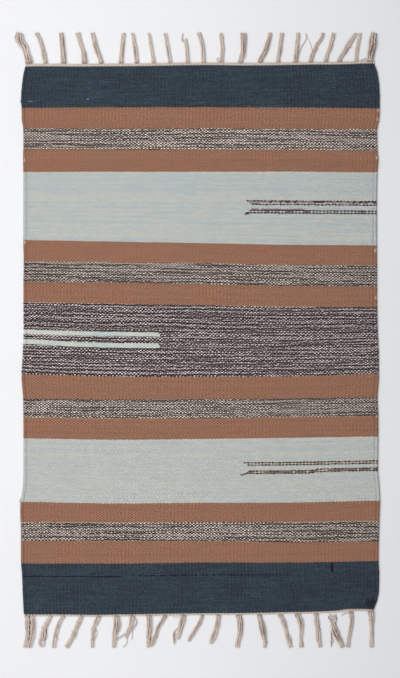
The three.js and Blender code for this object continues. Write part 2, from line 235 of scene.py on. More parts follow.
def build_cloth():
    g = Grid()
    edge = [0.0, 0.3, 0.65, 1.0, 1.35, 1.65, 1.95, 2.25, 2.7, 3.4, 4.4]
    cols = np.array(edge + list(np.arange(6, WARPS - 5, 2.0)) + [WARPS - c for c in edge[::-1]])
    rows = np.arange(2, PICKS, 1.0)

    def edge_in(w, reach):
        """Draws the outline in at the rounded long edges."""
        e = np.minimum(w, WARPS - w)
        return np.where(w < WARPS / 2, 1, -1) * EDGE_ROUND * np.clip(1 - e / reach, 0, 1)

    W, P = np.meshgrid(cols, rows)
    X, Y = place(W, P)
    turn = 0.25 * np.cos(math.pi * P)          # each row turns round the outer warp
    X = X - turn * np.clip(1 - W / 0.9, 0, 1) + turn * np.clip(1 - (WARPS - W) / 0.9, 0, 1) + edge_in(W, 0.3)
    Z = cloth_top(W, P) - 0.95 * np.clip(1 - np.minimum(W, WARPS - W) / 0.3, 0, 1)
    top = g.add(X, Y, Z, W, P)
    g.quads(top)

    # the underside lies flat
    bcols = np.array([0.0, 0.6, 2.2, 4.0] + list(np.arange(10, WARPS - 9, 8.0)) + [WARPS - 4.0, WARPS - 2.2, WARPS - 0.6, float(WARPS)])
    brows = np.unique(np.concatenate([rows[::4], rows[-1:]]))
    BW, BP = np.meshgrid(bcols, brows)
    BX, BY = place(BW, BP)
    e = np.minimum(BW, WARPS - BW)
    side_out = np.where(BW == 0, -3.6, np.where(BW == WARPS, 3.6, 0.0))
    bottom = g.add(BX + edge_in(BW, 0.6), BY, 0.0, BW, BP, 0.0, side_out)
    g.quads(bottom, low=True)

    # rounded long edges
    mids = []
    for c in (0, -1):
        sw = 0.0 if c == 0 else float(WARPS)
        sx, sy = place(np.full(len(rows), sw), rows)
        sign = -1 if c == 0 else 1
        sx = sx + sign * (0.30 * np.cos(math.pi * rows + 0.5) + 0.2 * wobble(sy, sy * 0, 9 + c, 2.6, 1.0))
        m = g.add(sx, sy, EDGE_HEIGHT, sw, rows, 0.0, sign * 1.8)
        mids.append(m)
        for i in range(len(rows) - 1):
            g.faces.append((int(top[i, c]), int(m[i]), int(m[i + 1]), int(top[i + 1, c])))
            g.low.append(False)
        g.stitch(m, bottom[:, c], rows, brows)

    # scalloped short ends
    fine = np.arange(0, WARPS + 0.125, 0.25)
    fe = np.minimum(fine, WARPS - fine)
    round_off = np.clip(1 - fe / 0.3, 0, 1)
    for end in ("far", "near"):
        first = end == "far"
        out = -1.0 if first else 1.0
        line = 0.75 if first else PICKS + 0.25
        reach = (0.55 if first else 0.72) * lobes(fine, odd=(not first and PICKS % 2 == 0)) * (1 - 0.5 * np.clip(1 - fe / 1.0, 0, 1))
        line = line + out * reach
        rings = []
        for k, (back, drop) in enumerate(((0.6, 0.0), (0.22, 0.38), (0.0, 1.45), (0.12, 2.3), (0.45, None))):
            pk = line - out * back
            x, y = place(fine, pk)
            h = cloth_top(fine, np.clip(pk, 1, PICKS - 1))
            if drop is None:
                z = np.zeros_like(h)
            else:
                z = h - drop - 0.10 * reach - round_off * np.clip(0.95 - drop * 0.65, 0, 1)
            rings.append(g.add(x + edge_in(fine, 0.3), y, np.maximum(z, 0.0), fine, pk, out * 1.35 * k))
        last, blast = (top[0], bottom[0]) if first else (top[-1], bottom[-1])
        g.stitch(last, rings[0], cols, fine)
        for a, b in zip(rings[:-1], rings[1:]):
            g.faces += [tuple(f) for f in np.stack([a[:-1], a[1:], b[1:], b[:-1]], 1).tolist()]
            g.low += [False] * (len(fine) - 1)
        g.stitch(rings[-1], blast, fine, bcols, low=True)
        for c in (0, -1):                       # the four corners
            m = mids[c][0] if first else mids[c][-1]
            chain = [last[c]] + [r[c] for r in rings] + [blast[c]]
            for a, b in zip(chain[:-1], chain[1:]):
                g.faces.append((int(m), int(a), int(b)))
                g.low.append(False)

    mesh = bpy.data.meshes.new("kilim_cloth")
    xyz = in_frame(np.concatenate(g.xyz))
    mesh.from_pydata(xyz.tolist(), [], g.faces)
    weave = np.concatenate(g.weave)
    a = mesh.attributes.new("weave", "FLOAT_VECTOR", "POINT")
    a.data.foreach_set("vector", weave.astype(np.float32).ravel())

    # A flat layout for the bake: the face large, the underside squeezed.
    uv = mesh.uv_layers.new(name="OFBake")
    loops = np.zeros(len(mesh.loops), int)
    mesh.loops.foreach_get("vertex_index", loops)
    sizes = np.zeros(len(mesh.polygons), int)
    mesh.polygons.foreach_get("loop_total", sizes)
    low = np.repeat(np.array(g.low), sizes)
    t, b = np.concatenate(g.top_uv)[loops], np.concatenate(g.low_uv)[loops]
    u0, u1 = t[:, 0].min(), t[:, 0].max()
    v0, v1 = t[:, 1].min(), t[:, 1].max()
    flat = np.empty((len(loops), 2))
    flat[:, 0] = 0.004 + 0.992 * (np.where(low, b[:, 0], t[:, 0]) - u0) / (u1 - u0)
    flat[:, 1] = np.where(low, 0.668 + 0.328 * (b[:, 1] - v0) / (v1 - v0), 0.004 + 0.655 * (t[:, 1] - v0) / (v1 - v0))
    uv.data.foreach_set("uv", flat.astype(np.float32).ravel())

    bm = bmesh.new()
    bm.from_mesh(mesh)
    bmesh.ops.recalc_face_normals(bm, faces=bm.faces)
    bm.to_mesh(mesh)
    bm.free()
    mesh.polygons.foreach_set("use_smooth", [True] * len(mesh.polygons))
    o = bpy.data.objects.new("kilim_cloth", mesh)
    bpy.context.scene.collection.objects.link(o)
    return o


# ============================================================ material builder
def srgb(r, g, b):
    def one(c):
        c /= 255
        return c / 12.92 if c <= 0.04045 else ((c + 0.055) / 1.055) ** 2.4
    return (one(r), one(g), one(b), 1.0)


class Nodes:
    """A short way to write a node tree. Values may be numbers or sockets."""

    def __init__(self, name):
        self.mat = bpy.data.materials.new(name)
        self.mat.use_nodes = True
        self.t = self.mat.node_tree
        self.t.nodes.clear()

    def put(self, socket, value):
        if isinstance(value, bpy.types.NodeSocket):
            self.t.links.new(value, socket)
        else:
            socket.default_value = value

    def math(self, op, a, b=0.0, c=0.0, clamp=False):
        n = self.t.nodes.new("ShaderNodeMath")
        n.operation = op
        n.use_clamp = clamp
        for s, v in zip(n.inputs, (a, b, c)):
            self.put(s, v)
        return n.outputs[0]

    def add(self, a, b): return self.math("ADD", a, b)
    def sub(self, a, b): return self.math("SUBTRACT", a, b)
    def mul(self, a, b): return self.math("MULTIPLY", a, b)
    def over(self, a, b): return self.math("GREATER_THAN", a, b)
    def under(self, a, b): return self.math("LESS_THAN", a, b)
    def either(self, a, b): return self.math("MAXIMUM", a, b)
    def both(self, a, b): return self.math("MULTIPLY", a, b)

    def ramp(self, x, lo, hi, to_lo=0.0, to_hi=1.0, smooth=True):
        n = self.t.nodes.new("ShaderNodeMapRange")
        n.interpolation_type = "SMOOTHSTEP" if smooth else "LINEAR"
        n.clamp = True
        for s, v in zip(("Value", "From Min", "From Max", "To Min", "To Max"), (x, lo, hi, to_lo, to_hi)):
            self.put(n.inputs[s], v)
        return n.outputs["Result"]

    def mix(self, f, a, b):
        """Numbers: a where f is 0, b where f is 1."""
        n = self.t.nodes.new("ShaderNodeMix")
        n.data_type = "FLOAT"
        self.put(n.inputs[0], f)
        self.put(n.inputs[2], a)
        self.put(n.inputs[3], b)
        return n.outputs[0]

    def blend(self, f, a, b, kind="MIX"):
        """Colours: a where f is 0, b where f is 1."""
        n = self.t.nodes.new("ShaderNodeMix")
        n.data_type = "RGBA"
        n.blend_type = kind
        self.put(n.inputs[0], f)
        self.put(n.inputs[6], a)
        self.put(n.inputs[7], b)
        return n.outputs[2]

    def shade(self, colour, f):
        """A colour times a number."""
        n = self.t.nodes.new("ShaderNodeVectorMath")
        n.operation = "SCALE"
        self.put(n.inputs[0], colour[:3] if isinstance(colour, tuple) else colour)
        self.put(n.inputs["Scale"], f)
        return n.outputs[0]

    def vector(self, x, y, z=0.0):
        n = self.t.nodes.new("ShaderNodeCombineXYZ")
        for s, v in zip(n.inputs, (x, y, z)):
            self.put(s, v)
        return n.outputs[0]

    def split(self, v):
        n = self.t.nodes.new("ShaderNodeSeparateXYZ")
        self.put(n.inputs[0], v)
        return n.outputs

    def attribute(self, name):
        n = self.t.nodes.new("ShaderNodeAttribute")
        n.attribute_type = "GEOMETRY"
        n.attribute_name = name
        return n.outputs["Vector"]

    def noise(self, v, scale=1.0, detail=0.0, rough=0.5, dims="3D"):
        n = self.t.nodes.new("ShaderNodeTexNoise")
        n.noise_dimensions = dims
        self.put(n.inputs["Vector"], v)
        n.inputs["Scale"].default_value = scale
        n.inputs["Detail"].default_value = detail
        n.inputs["Roughness"].default_value = rough
        return n.outputs[0]

    def dice(self, x, y, z=0.0):
        """A random number from 0 to 1 for every whole triple."""
        n = self.t.nodes.new("ShaderNodeTexWhiteNoise")
        n.noise_dimensions = "3D"
        self.put(n.inputs["Vector"], self.vector(x, y, z))
        return n.outputs["Value"]

    def finish(self, colour, roughness, height, sheen, strength=1.0):
        b = self.t.nodes.new("ShaderNodeBsdfPrincipled")
        out = self.t.nodes.new("ShaderNodeOutputMaterial")
        bump = self.t.nodes.new("ShaderNodeBump")
        bump.inputs["Strength"].default_value = strength
        bump.inputs["Distance"].default_value = 1.0
        self.put(bump.inputs["Height"], height)
        self.put(b.inputs["Base Color"], colour)
        self.put(b.inputs["Roughness"], roughness)
        self.put(b.inputs["Normal"], bump.outputs[0])
        b.inputs["Specular IOR Level"].default_value = 0.25
        b.inputs["Sheen Weight"].default_value = sheen
        b.inputs["Sheen Roughness"].default_value = 0.5
        self.t.links.new(b.outputs[0], out.inputs[0])
        return self.mat


def steps(t, x, values):
    """A number that changes at every stripe: values[k] in stripe k."""
    out = float(values[0])
    for k in range(1, len(values)):
        d = float(values[k]) - float(values[k - 1])
        if d:
            out = t.add(out, t.mul(t.over(x, float(STARTS[k]) - 0.5), d))
    return out


# ======================================================= material: the weave
# Yarn colours.
BLUE_A, BLUE_B = (48, 58, 70), (54, 67, 78)
BROWN_A, BROWN_B = (159, 113, 89), (156, 113, 91)
ICE_A, ICE_B = (185, 194, 195), (195, 196, 189)
MARL_DARK, MARL_PALE = (62, 51, 47), (229, 212, 201)
CHAR_DARK, CHAR_PALE = (58, 46, 51), (226, 210, 207)
MARL_ROWS = 0.894, 0.787                # rows of marl and of charcoal for one row of plain yarn
MARL_STEP, CHAR_STEP = 0.398, 0.408     # twists from one row to the next
MARL_BIAS, CHAR_BIAS = 0.40, -0.12      # how much of the cream ply shows
PAINTED_CROWN_LIGHT = 1.08                             # painted highlight: colour lightened on the crowns of the floats
PIT_SHADE_LEFT = {"blue": 0.50, "brown": 0.38, "ice": 0.55, "marl": 0.00, "charcoal": 0.12}       # painted shade: colour darkened in the pits between the floats, at the left selvedge
PIT_SHADE_RIGHT = {"blue": 0.50, "brown": 0.52, "ice": 0.70, "marl": 0.15, "charcoal": 0.12}      # and at the right one, with less painted shade there, to keep the contrast even where the light from the left falls more slantwise


def weave_material():
    t = Nodes("striped_weave")
    w, p, _ = t.split(t.attribute("weave"))

    # Rows and warps wander slightly, as in any hand-woven cloth.
    slow = t.noise(t.vector(t.mul(w, 0.16), t.mul(p, 0.10)), 1.0, 1.0, dims="2D")
    quick = t.noise(t.vector(t.mul(w, 0.9), t.add(t.mul(p, 0.45), 70.0)), 1.0, 0.0, dims="2D")
    wp = t.add(t.add(p, t.mul(t.sub(slow, 0.5), 0.55)), t.mul(t.sub(quick, 0.5), 0.35))
    ww = t.add(w, t.mul(t.sub(t.noise(t.vector(t.mul(p, 0.07), t.mul(w, 0.3)), 1.0, 1.0, dims="2D"), 0.5), 0.7))

    jog = t.noise(t.vector(t.mul(w, 0.75), t.mul(p, 0.8)), 1.0, 0.0, dims="2D")
    ww = t.add(ww, t.mul(t.sub(jog, 0.5), 0.55))

    def top_float(rows, long, tall):
        """The float on top at a place: its warp, its row, the place within it, and its depth: 0 in the pits, 1 on the crown.
        There are two staggered sets of floats: even rows pass over even warps, odd over odd."""
        sets = []
        for odd in (0, 1):
            i = t.add(t.mul(t.math("ROUND", t.mul(t.sub(ww, 0.5 + odd), 0.5)), 2.0), float(odd))
            n = t.add(t.mul(t.math("ROUND", t.mul(t.sub(rows, 1.0 + odd), 0.5)), 2.0), float(odd))
            sets.append((i, n, t.sub(t.sub(ww, 0.5), i), t.sub(t.sub(rows, 1.0), n)))
        h = [t.sub(t.sub(1.0, t.math("POWER", t.math("ABSOLUTE", t.math("DIVIDE", s[2], long)), 2.0)),
                   t.math("POWER", t.math("ABSOLUTE", t.math("DIVIDE", s[3], tall)), 2.0)) for s in sets]
        second = t.over(h[1], h[0])
        return [t.mix(second, a, b) for a, b in zip(*sets)] + [t.ramp(t.either(*h), 0.50, 1.0, 0.0, 1.0, smooth=False)]

    i, n, dx, dy, depth = top_float(wp, 1.4, 1.10)
    # The marled yarns are thicker: fewer rows to the centimetre, and each float stands apart.
    charcoal = t.both(t.over(p, STARTS[8] - 8.0), t.under(p, STARTS[9] + 8.0))
    mi, mn, mdx, mdy, mdepth = top_float(t.mul(wp, t.mix(charcoal, *MARL_ROWS)), t.mix(charcoal, 0.83, 0.81), t.mix(charcoal, 1.05, 1.19))

    # Random numbers for the row, for a run along the row, and for one float.
    row = t.dice(n, 3.0)
    run = t.noise(t.vector(t.mul(w, 0.055), t.mul(n, 7.31)), 1.0, 1.0, 0.5, dims="2D")
    short = t.noise(t.vector(t.mul(w, 0.33), t.mul(n, 11.7)), 1.0, 0.0, dims="2D")
    grain = t.dice(i, n, 5.0)
    spread = t.sub(t.dice(i, n, 9.0), 0.5)

    # ---------------- plain yarns
    def streaks(lo, hi, amount):
        """Light and dark runs along the rows around the value 1."""
        v = t.add(t.mul(t.sub(row, 0.5), 0.5), t.add(t.sub(run, 0.5), t.mul(t.sub(grain, 0.5), 0.35)))
        return t.ramp(v, -0.5, 0.5, 1 - amount * lo, 1 + amount * hi, smooth=False)

    patches = t.noise(t.vector(t.mul(w, 0.06), t.mul(p, 0.055)), 1.0, 2.0, dims="2D")
    speckle = t.noise(t.vector(t.mul(w, 0.85), t.add(t.mul(p, 0.75), 31.0)), 1.0, 2.0, 0.6, dims="2D")
    fleck = t.noise(t.vector(t.mul(w, 1.25), t.add(t.mul(p, 0.85), 11.0)), 1.0, 0.0, dims="2D")
    blue = t.blend(t.ramp(t.add(t.mul(patches, 0.4), t.mul(run, 0.6)), 0.35, 0.65), srgb(*BLUE_A), srgb(*BLUE_B))
    blue = t.shade(blue, t.mul(t.mul(streaks(1, 1, 0.08), t.add(1.0, t.mul(spread, 0.34))), t.ramp(fleck, 0.25, 0.75, 0.76, 1.24, smooth=False)))
    rib_light = t.mul(t.math("SINE", t.mul(w, math.pi)), t.ramp(patches, 0.35, 0.6, 1.5, 0.5))      # painted light: every other warp stands a little higher and is painted lighter, the warps between darker
    blue = t.shade(blue, t.add(1.0, t.mul(rib_light, 0.11)))
    brown = t.blend(t.ramp(patches, 0.3, 0.7), srgb(*BROWN_A), srgb(*BROWN_B))
    brown = t.shade(brown, t.mul(t.mul(streaks(1, 1, 0.10), t.ramp(fleck, 0.25, 0.75, 0.88, 1.12, smooth=False)), t.add(1.0, t.mul(rib_light, 0.07))))
    ice = t.blend(t.ramp(t.add(t.mul(run, 0.6), t.mul(row, 0.4)), 0.35, 0.62), srgb(*ICE_A), srgb(*ICE_B))
    ice = t.blend(t.mul(t.over(p, float(STARTS[12]) - 8.0), 0.35), ice, srgb(199, 197, 190))
    ice = t.shade(ice, t.mul(streaks(1, 1, 0.05), t.add(1.0, t.mul(spread, 0.13))))

    # ---------------- two-ply marled yarn: dark and cream plies take turns on the face.
    # The twist nearly keeps step with the warps, so a whole row shows mostly one ply, and
    # the next rows are a fixed part of a twist further on: dark lines between pale ones.
    mrow, mgrain = t.dice(mn, 3.0), t.dice(mi, mn, 5.0)
    shift = t.noise(t.vector(t.mul(w, 0.022), t.mul(mn, 5.37)), 1.0, 1.0, 0.5, dims="2D")
    phase = t.add(t.mul(mn, t.mix(charcoal, MARL_STEP, CHAR_STEP)), t.mul(t.sub(shift, 0.5), t.mix(charcoal, 1.5, 1.3)))
    phase = t.add(phase, t.add(t.mul(t.sub(t.dice(mn, 13.0), 0.5), t.mix(charcoal, 0.55, 0.60)), t.mul(t.sub(mgrain, 0.5), 0.31)))
    inside = t.add(t.mul(mdx, t.mix(charcoal, -0.03, 0.07)), t.mul(mdy, t.mix(charcoal, 0.52, 0.60)))
    lean = t.math("SINE", t.mul(t.add(phase, inside), 2 * math.pi))
    light = t.ramp(t.add(lean, t.mix(charcoal, MARL_BIAS, CHAR_BIAS)), -0.13, 0.13, 0.0, 1.0)
    dark_ply = t.blend(charcoal, srgb(*MARL_DARK), srgb(*CHAR_DARK))
    pale_ply = t.blend(charcoal, srgb(*MARL_PALE), srgb(*CHAR_PALE))
    marl = t.blend(light, dark_ply, pale_ply)
    marl = t.shade(marl, t.ramp(t.add(t.mul(mrow, 0.5), t.mul(mgrain, 0.5)), 0.0, 1.0, 0.88, 1.10, smooth=False))
    marl = t.shade(marl, t.ramp(t.dice(mi, mn, 9.0), 0.0, 1.0, t.mix(charcoal, 0.97, 0.80), t.mix(charcoal, 1.03, 1.20), smooth=False))

    # painted shade: the marl (not the charcoal) lighter at the left and darker towards the right selvedge, away from
    # the light
    marl = t.shade(marl, t.mix(charcoal, t.ramp(w, 130.0, 200.0, 1.09, 0.86, smooth=False), 0.99))
    marl = t.shade(marl, steps(t, n, [1.06] * 5 + [0.94] * 3 + [1.0] + [0.97] * 8))      # each stripe's own lot of yarn

    # ---------------- which yarn: chosen by the row's number
    kind = {"blue": 0, "brown": 1, "ice": 2, "marl": 3, "charcoal": 3}
    k = steps(t, n, [kind[s[0]] for s in STRIPES])
    colour = t.blend(t.over(k, 0.5), blue, brown)
    colour = t.blend(t.over(k, 1.5), colour, ice)
    colour = t.blend(t.over(k, 2.5), colour, marl)

    # ---------------- narrow laid-in lines that run in from one selvedge
    ragged = t.mul(t.sub(t.dice(n, 33.0), 0.5), 3.0)

    one, two, three = float(STARTS[4]), float(STARTS[8]), float(STARTS[12])
    # The dark ones are marled too: (row, start, stop, colour of most floats, of some).
    turn = t.dice(t.add(i, t.mul(n, 37.0)), 41.0)
    threads = 0.0
    for at, dark, mid, pale, tan in ((one, (58, 47, 54), (128, 114, 116), (152, 140, 139), (192, 181, 176)),
                                     (three, (72, 60, 54), (124, 109, 99), (160, 147, 133), (190, 178, 162))):
        if at == one:
            rows = ((24, 128.8, 205, dark, mid), (25, 130.0, 205, pale, dark), (26, 131.0, 205, tan, pale), (27, 131.8, 205, dark, mid),
                    (31, 131.6, 162, mid, tan), (32, 130.2, 205, dark, dark), (33, 129.4, 205, tan, mid), (34, 128.2, 205, dark, dark), (35, 127.6, 130.4, dark, mid))
        else:
            rows = ((20, 126.4, 205, dark, mid), (21, 127.2, 205, tan, pale), (22, 129.0, 205, dark, mid),
                    (27, 129.4, 168, dark, mid), (28, 128.0, 168, mid, tan), (29, 126.6, 168, dark, mid), (30, 124.6, 127.6, dark, mid),
                    (26, 168.0, 205, dark, mid), (27, 168.0, 205, mid, tan), (28, 168.0, 205, dark, mid))
        for k_row, start, stop, most, some in rows:
            here = t.both(t.both(t.over(n, at + k_row - 0.5), t.under(n, at + k_row + 0.5)), t.both(t.over(w, float(start)), t.under(w, float(stop))))
            yarn = t.shade(t.blend(t.ramp(turn, 0.66, 0.84), srgb(*most), srgb(*some)), t.ramp(grain, 0, 1, 0.90, 1.10))
            colour = t.blend(here, colour, yarn)
            threads = t.either(threads, here)
    pale = t.blend(t.ramp(run, 0.35, 0.6), srgb(190, 203, 200), srgb(208, 208, 197))
    pale = t.shade(pale, t.ramp(grain, 0, 1, 0.94, 1.06))
    first = t.sub(wp, t.ramp(w, 3, 17, two + 25.35, two + 25.75, smooth=False))
    second = t.sub(wp, t.add(t.ramp(w, 3, 30, two + 33.85, two + 35.1, smooth=False), t.ramp(w, 30, 60, 0.0, 0.22)))
    laid = t.either(t.ramp(t.math("ABSOLUTE", first), 1.62, 1.98, 1.0, 0.0), t.ramp(t.math("ABSOLUTE", second), 1.82, 2.18, 1.0, 0.0))
    laid = t.both(laid, t.under(w, t.add(78.0, t.mul(ragged, 0.4))))
    under = t.both(t.ramp(t.math("ABSOLUTE", t.sub(second, 2.6)), 0.3, 0.7, 1.0, 0.0), t.both(t.over(w, 20), t.under(w, 79)))
    colour = t.blend(t.mul(under, 0.75), colour, srgb(*CHAR_DARK))
    colour = t.blend(laid, colour, pale)

    # ---------------- small marks of hand work, and painted shadow in a seam, a slit and a corner: (warp, pick, half width, half height, colour, strength)
    def spot(at_w, at_p, half_w, half_p, soft=0.6):
        a = t.math("POWER", t.mul(t.sub(w, at_w), 1 / half_w), 2.0)
        b = t.math("POWER", t.mul(t.sub(p, at_p), 1 / half_p), 2.0)
        return t.ramp(t.add(t.add(a, b), t.mul(t.sub(grain, 0.5), 0.5)), soft, 1.2, 1.0, 0.0)

    far = float(STARTS[16])
    # painted shadow in the slightly open line between two picks, solid at the left, dotted further on
    groove_line = t.ramp(t.math("ABSOLUTE", t.sub(wp, far + 11.45)), 0.25, 0.75, 1.0, 0.0)
    strength = t.mul(t.ramp(w, 55, 60, 0.95, 0.0), t.ramp(short, 0.3, 0.5, 0.5, 1.0))
    strength = t.either(strength, t.both(t.ramp(w, 39, 42, 0.0, 0.95), t.ramp(w, 56, 58, 1.0, 0.0)))
    painted_seam_shadow = t.mul(groove_line, strength)
    dots = t.both(t.both(t.over(n, far + 9.5), t.under(n, far + 10.5)), t.mul(t.ramp(w, 60, 66), t.ramp(w, 108, 165, 1.0, 0.2)))
    painted_seam_shadow = t.either(painted_seam_shadow, t.mul(dots, t.ramp(short, 0.35, 0.5, 0.3, 1.0)))
    colour = t.blend(painted_seam_shadow, colour, srgb(16, 11, 19))
    # painted shadow in a slit of the weave
    painted_slit_shadow = spot(177.3, far + 5.6, 0.95, 4.6, 0.75)
    colour = t.blend(t.mul(painted_slit_shadow, 0.92), colour, srgb(15, 12, 20))
    for at_w, at_p, hw, hp, c, f in (
        (103.8, 240.0, 1.0, 0.9, (84, 128, 158), 0.6), (141.0, 241.0, 1.1, 0.9, (84, 128, 158), 0.55),
        (197.0, 216.0, 1.0, 0.8, (90, 128, 156), 0.45), (110.6, 235.0, 0.9, 0.8, (190, 90, 84), 0.5),
        (5.0, 31.0, 1.6, 0.6, (150, 160, 164), 0.45), (38.0, 29.3, 0.9, 0.8, (150, 158, 162), 0.45),
        (0.8, 81.5, 0.8, 1.6, (214, 204, 186), 0.6), (0.8, 154.5, 0.8, 1.6, (214, 204, 186), 0.6),
        (203.4, 38.2, 0.8, 1.4, (214, 204, 186), 0.6), (203.2, 46.0, 0.8, 1.4, (214, 204, 186), 0.5),
        (203.2, 78.5, 0.8, 1.4, (214, 204, 186), 0.6), (203.2, 157.0, 0.8, 1.6, (214, 204, 186), 0.6),
        (203.2, 197.0, 0.8, 1.4, (214, 204, 186), 0.5), (203.2, 302.0, 0.8, 1.8, (214, 204, 186), 0.6),
        # painted shadow at the near right corner
        (201.0, 461.0, 4.2, 5.5, (22, 25, 30), 0.7),
    ):
        colour = t.blend(t.mul(spot(at_w, at_p, hw, hp, 0.0 if hw > 4 else 0.6), f), colour, srgb(*c))

    # ---------------- painted light and shade: colour darkened in the pits between floats and lightened on their crowns
    relief = t.mix(laid, t.mix(t.over(k, 2.5), depth, mdepth), depth)
    side = t.ramp(w, 0.0, float(WARPS), 0.0, 1.0, smooth=False)
    pit_shade_level = t.mix(side, steps(t, n, [PIT_SHADE_LEFT[s[0]] for s in STRIPES]), steps(t, n, [PIT_SHADE_RIGHT[s[0]] for s in STRIPES]))
    pit_shade_level = t.mix(laid, t.mix(threads, pit_shade_level, 0.80), 0.72)
    painted_pit_shade = t.ramp(relief, 0.0, 0.85, pit_shade_level, PAINTED_CROWN_LIGHT)
    painted_pit_shade = t.mul(painted_pit_shade, t.ramp(speckle, 0.25, 0.75, 0.92, 1.08, smooth=False))
    # painted shade in the groove beside the doubled outer warps
    groove_shade = t.math("MINIMUM", w, t.sub(float(WARPS), w))
    groove_shade = t.ramp(t.math("ABSOLUTE", t.sub(groove_shade, 1.95)), 0.0, 0.55, 0.74, 1.0)
    fibre = t.noise(t.vector(t.add(t.mul(w, 7.0), t.mul(p, 5.0)), t.mul(p, 17.0), 0.0), 1.0, 2.0, 0.6, dims="2D")
    colour = t.shade(colour, t.mul(t.mul(painted_pit_shade, groove_shade), t.ramp(fibre, 0.2, 0.8, 0.93, 1.07, smooth=False)))

    # ---------------- relief: the crown of each float, its twist, and loose fibres
    ply = t.math("SINE", t.add(t.mul(dx, 5.2), t.mul(dy, -7.4)))
    crown = t.math("POWER", relief, 0.7)
    tall = t.mul(t.mix(side, 0.00042, 0.00022), t.mix(t.both(t.over(k, 1.5), t.under(k, 2.5)), 1.0, 0.7))
    height = t.add(t.mul(crown, tall), t.add(t.mul(ply, 0.000035), t.mul(fibre, 0.00010)))
    height = t.add(height, t.mul(t.sub(row, 0.5), 0.00010))
    rough = t.ramp(fibre, 0.2, 0.8, 0.84, 0.97, smooth=False)
    return t.finish(colour, rough, height, sheen=0.12)


# ======================================================= material: cream yarn
def yarn_material():
    t = Nodes("cream_yarn")
    along, who, tone = t.split(t.attribute("yarn"))
    geo = t.t.nodes.new("ShaderNodeTexCoord").outputs["Object"]
    soft = t.noise(geo, 220.0, 2.0, 0.6)
    fibre = t.noise(t.vector(t.mul(along, 0.35), t.mul(who, 91.0), t.mul(soft, 2.0)), 3.0, 2.0, 0.6)
    colour = t.blend(tone, srgb(208, 188, 175), srgb(233, 222, 212))
    colour = t.blend(t.ramp(fibre, 0.35, 0.7, 0.0, 0.5), colour, srgb(202, 182, 170))
    # painted shade: the yarn is darkened where it lies deep among the other yarns, more on the side away from the
    # light, and where a dark amount is given to it
    crease_shade = t.t.nodes.new("ShaderNodeAttribute")
    crease_shade.attribute_name = "crease_shade"
    colour = t.blend(t.ramp(t.add(crease_shade.outputs["Fac"], t.mul(t.sub(soft, 0.5), 0.3)), 0.12, 1.0, 0.0, 0.8), colour, srgb(132, 102, 88))
    colour = t.blend(t.ramp(crease_shade.outputs["Fac"], 1.0, 1.7), colour, srgb(78, 56, 50))
    colour = t.shade(colour, t.ramp(soft, 0.25, 0.75, 0.90, 1.06, smooth=False))
    hairs = t.noise(geo, 1900.0, 2.0, 0.6)
    height = t.add(t.mul(hairs, 0.00012), t.mul(soft, 0.00018))
    return t.finish(colour, t.ramp(hairs, 0.2, 0.8, 0.86, 0.98), height, sheen=0.2)


# ================================================================ yarn meshes
GRID = 1.676                    # mm: unit in which the loose yarns are laid out


def from_grid(pts):
    """Layout units (from the far left corner, y down) to drawing mm."""
    p = np.asarray(pts, float)
    out = p.copy()
    out[:, 0] = (p[:, 0] - 200.5) * GRID
    out[:, 1] = (339.5 - p[:, 1]) * GRID
    if p.shape[1] > 2:
        out[:, 2:] = p[:, 2:] * GRID
    return out


def resample(pts, step):
    """Points of a smooth curve through pts, evenly spaced. Extra columns ride along."""
    pts = np.asarray(pts, float)
    d = np.concatenate([[0], np.cumsum(np.maximum(np.linalg.norm(np.diff(pts[:, :2], axis=0), axis=1), 1e-3))])
    # Catmull-Rom through the points, by chord length
    m = np.gradient(pts, d, axis=0) if len(pts) > 2 else np.repeat((pts[1:] - pts[:1]) / d[-1], 2, 0)
    s = np.linspace(0, d[-1], max(4, int(d[-1] / step * 3)))
    i = np.clip(np.searchsorted(d, s, side="right") - 1, 0, len(d) - 2)
    h = (d[i + 1] - d[i])[:, None]
    t = ((s - d[i]) / (d[i + 1] - d[i]))[:, None]
    fine = ((1 + 2 * t) * (1 - t) ** 2 * pts[i] + t * (1 - t) ** 2 * h * m[i]
            + t * t * (3 - 2 * t) * pts[i + 1] + t * t * (t - 1) * h * m[i + 1])
    e = np.concatenate([[0], np.cumsum(np.linalg.norm(np.diff(fine[:, :2], axis=0), axis=1))])
    at = np.linspace(0, e[-1], max(3, int(round(e[-1] / step)) + 1))
    return np.stack([np.interp(at, e, fine[:, c]) for c in range(fine.shape[1])], 1), at


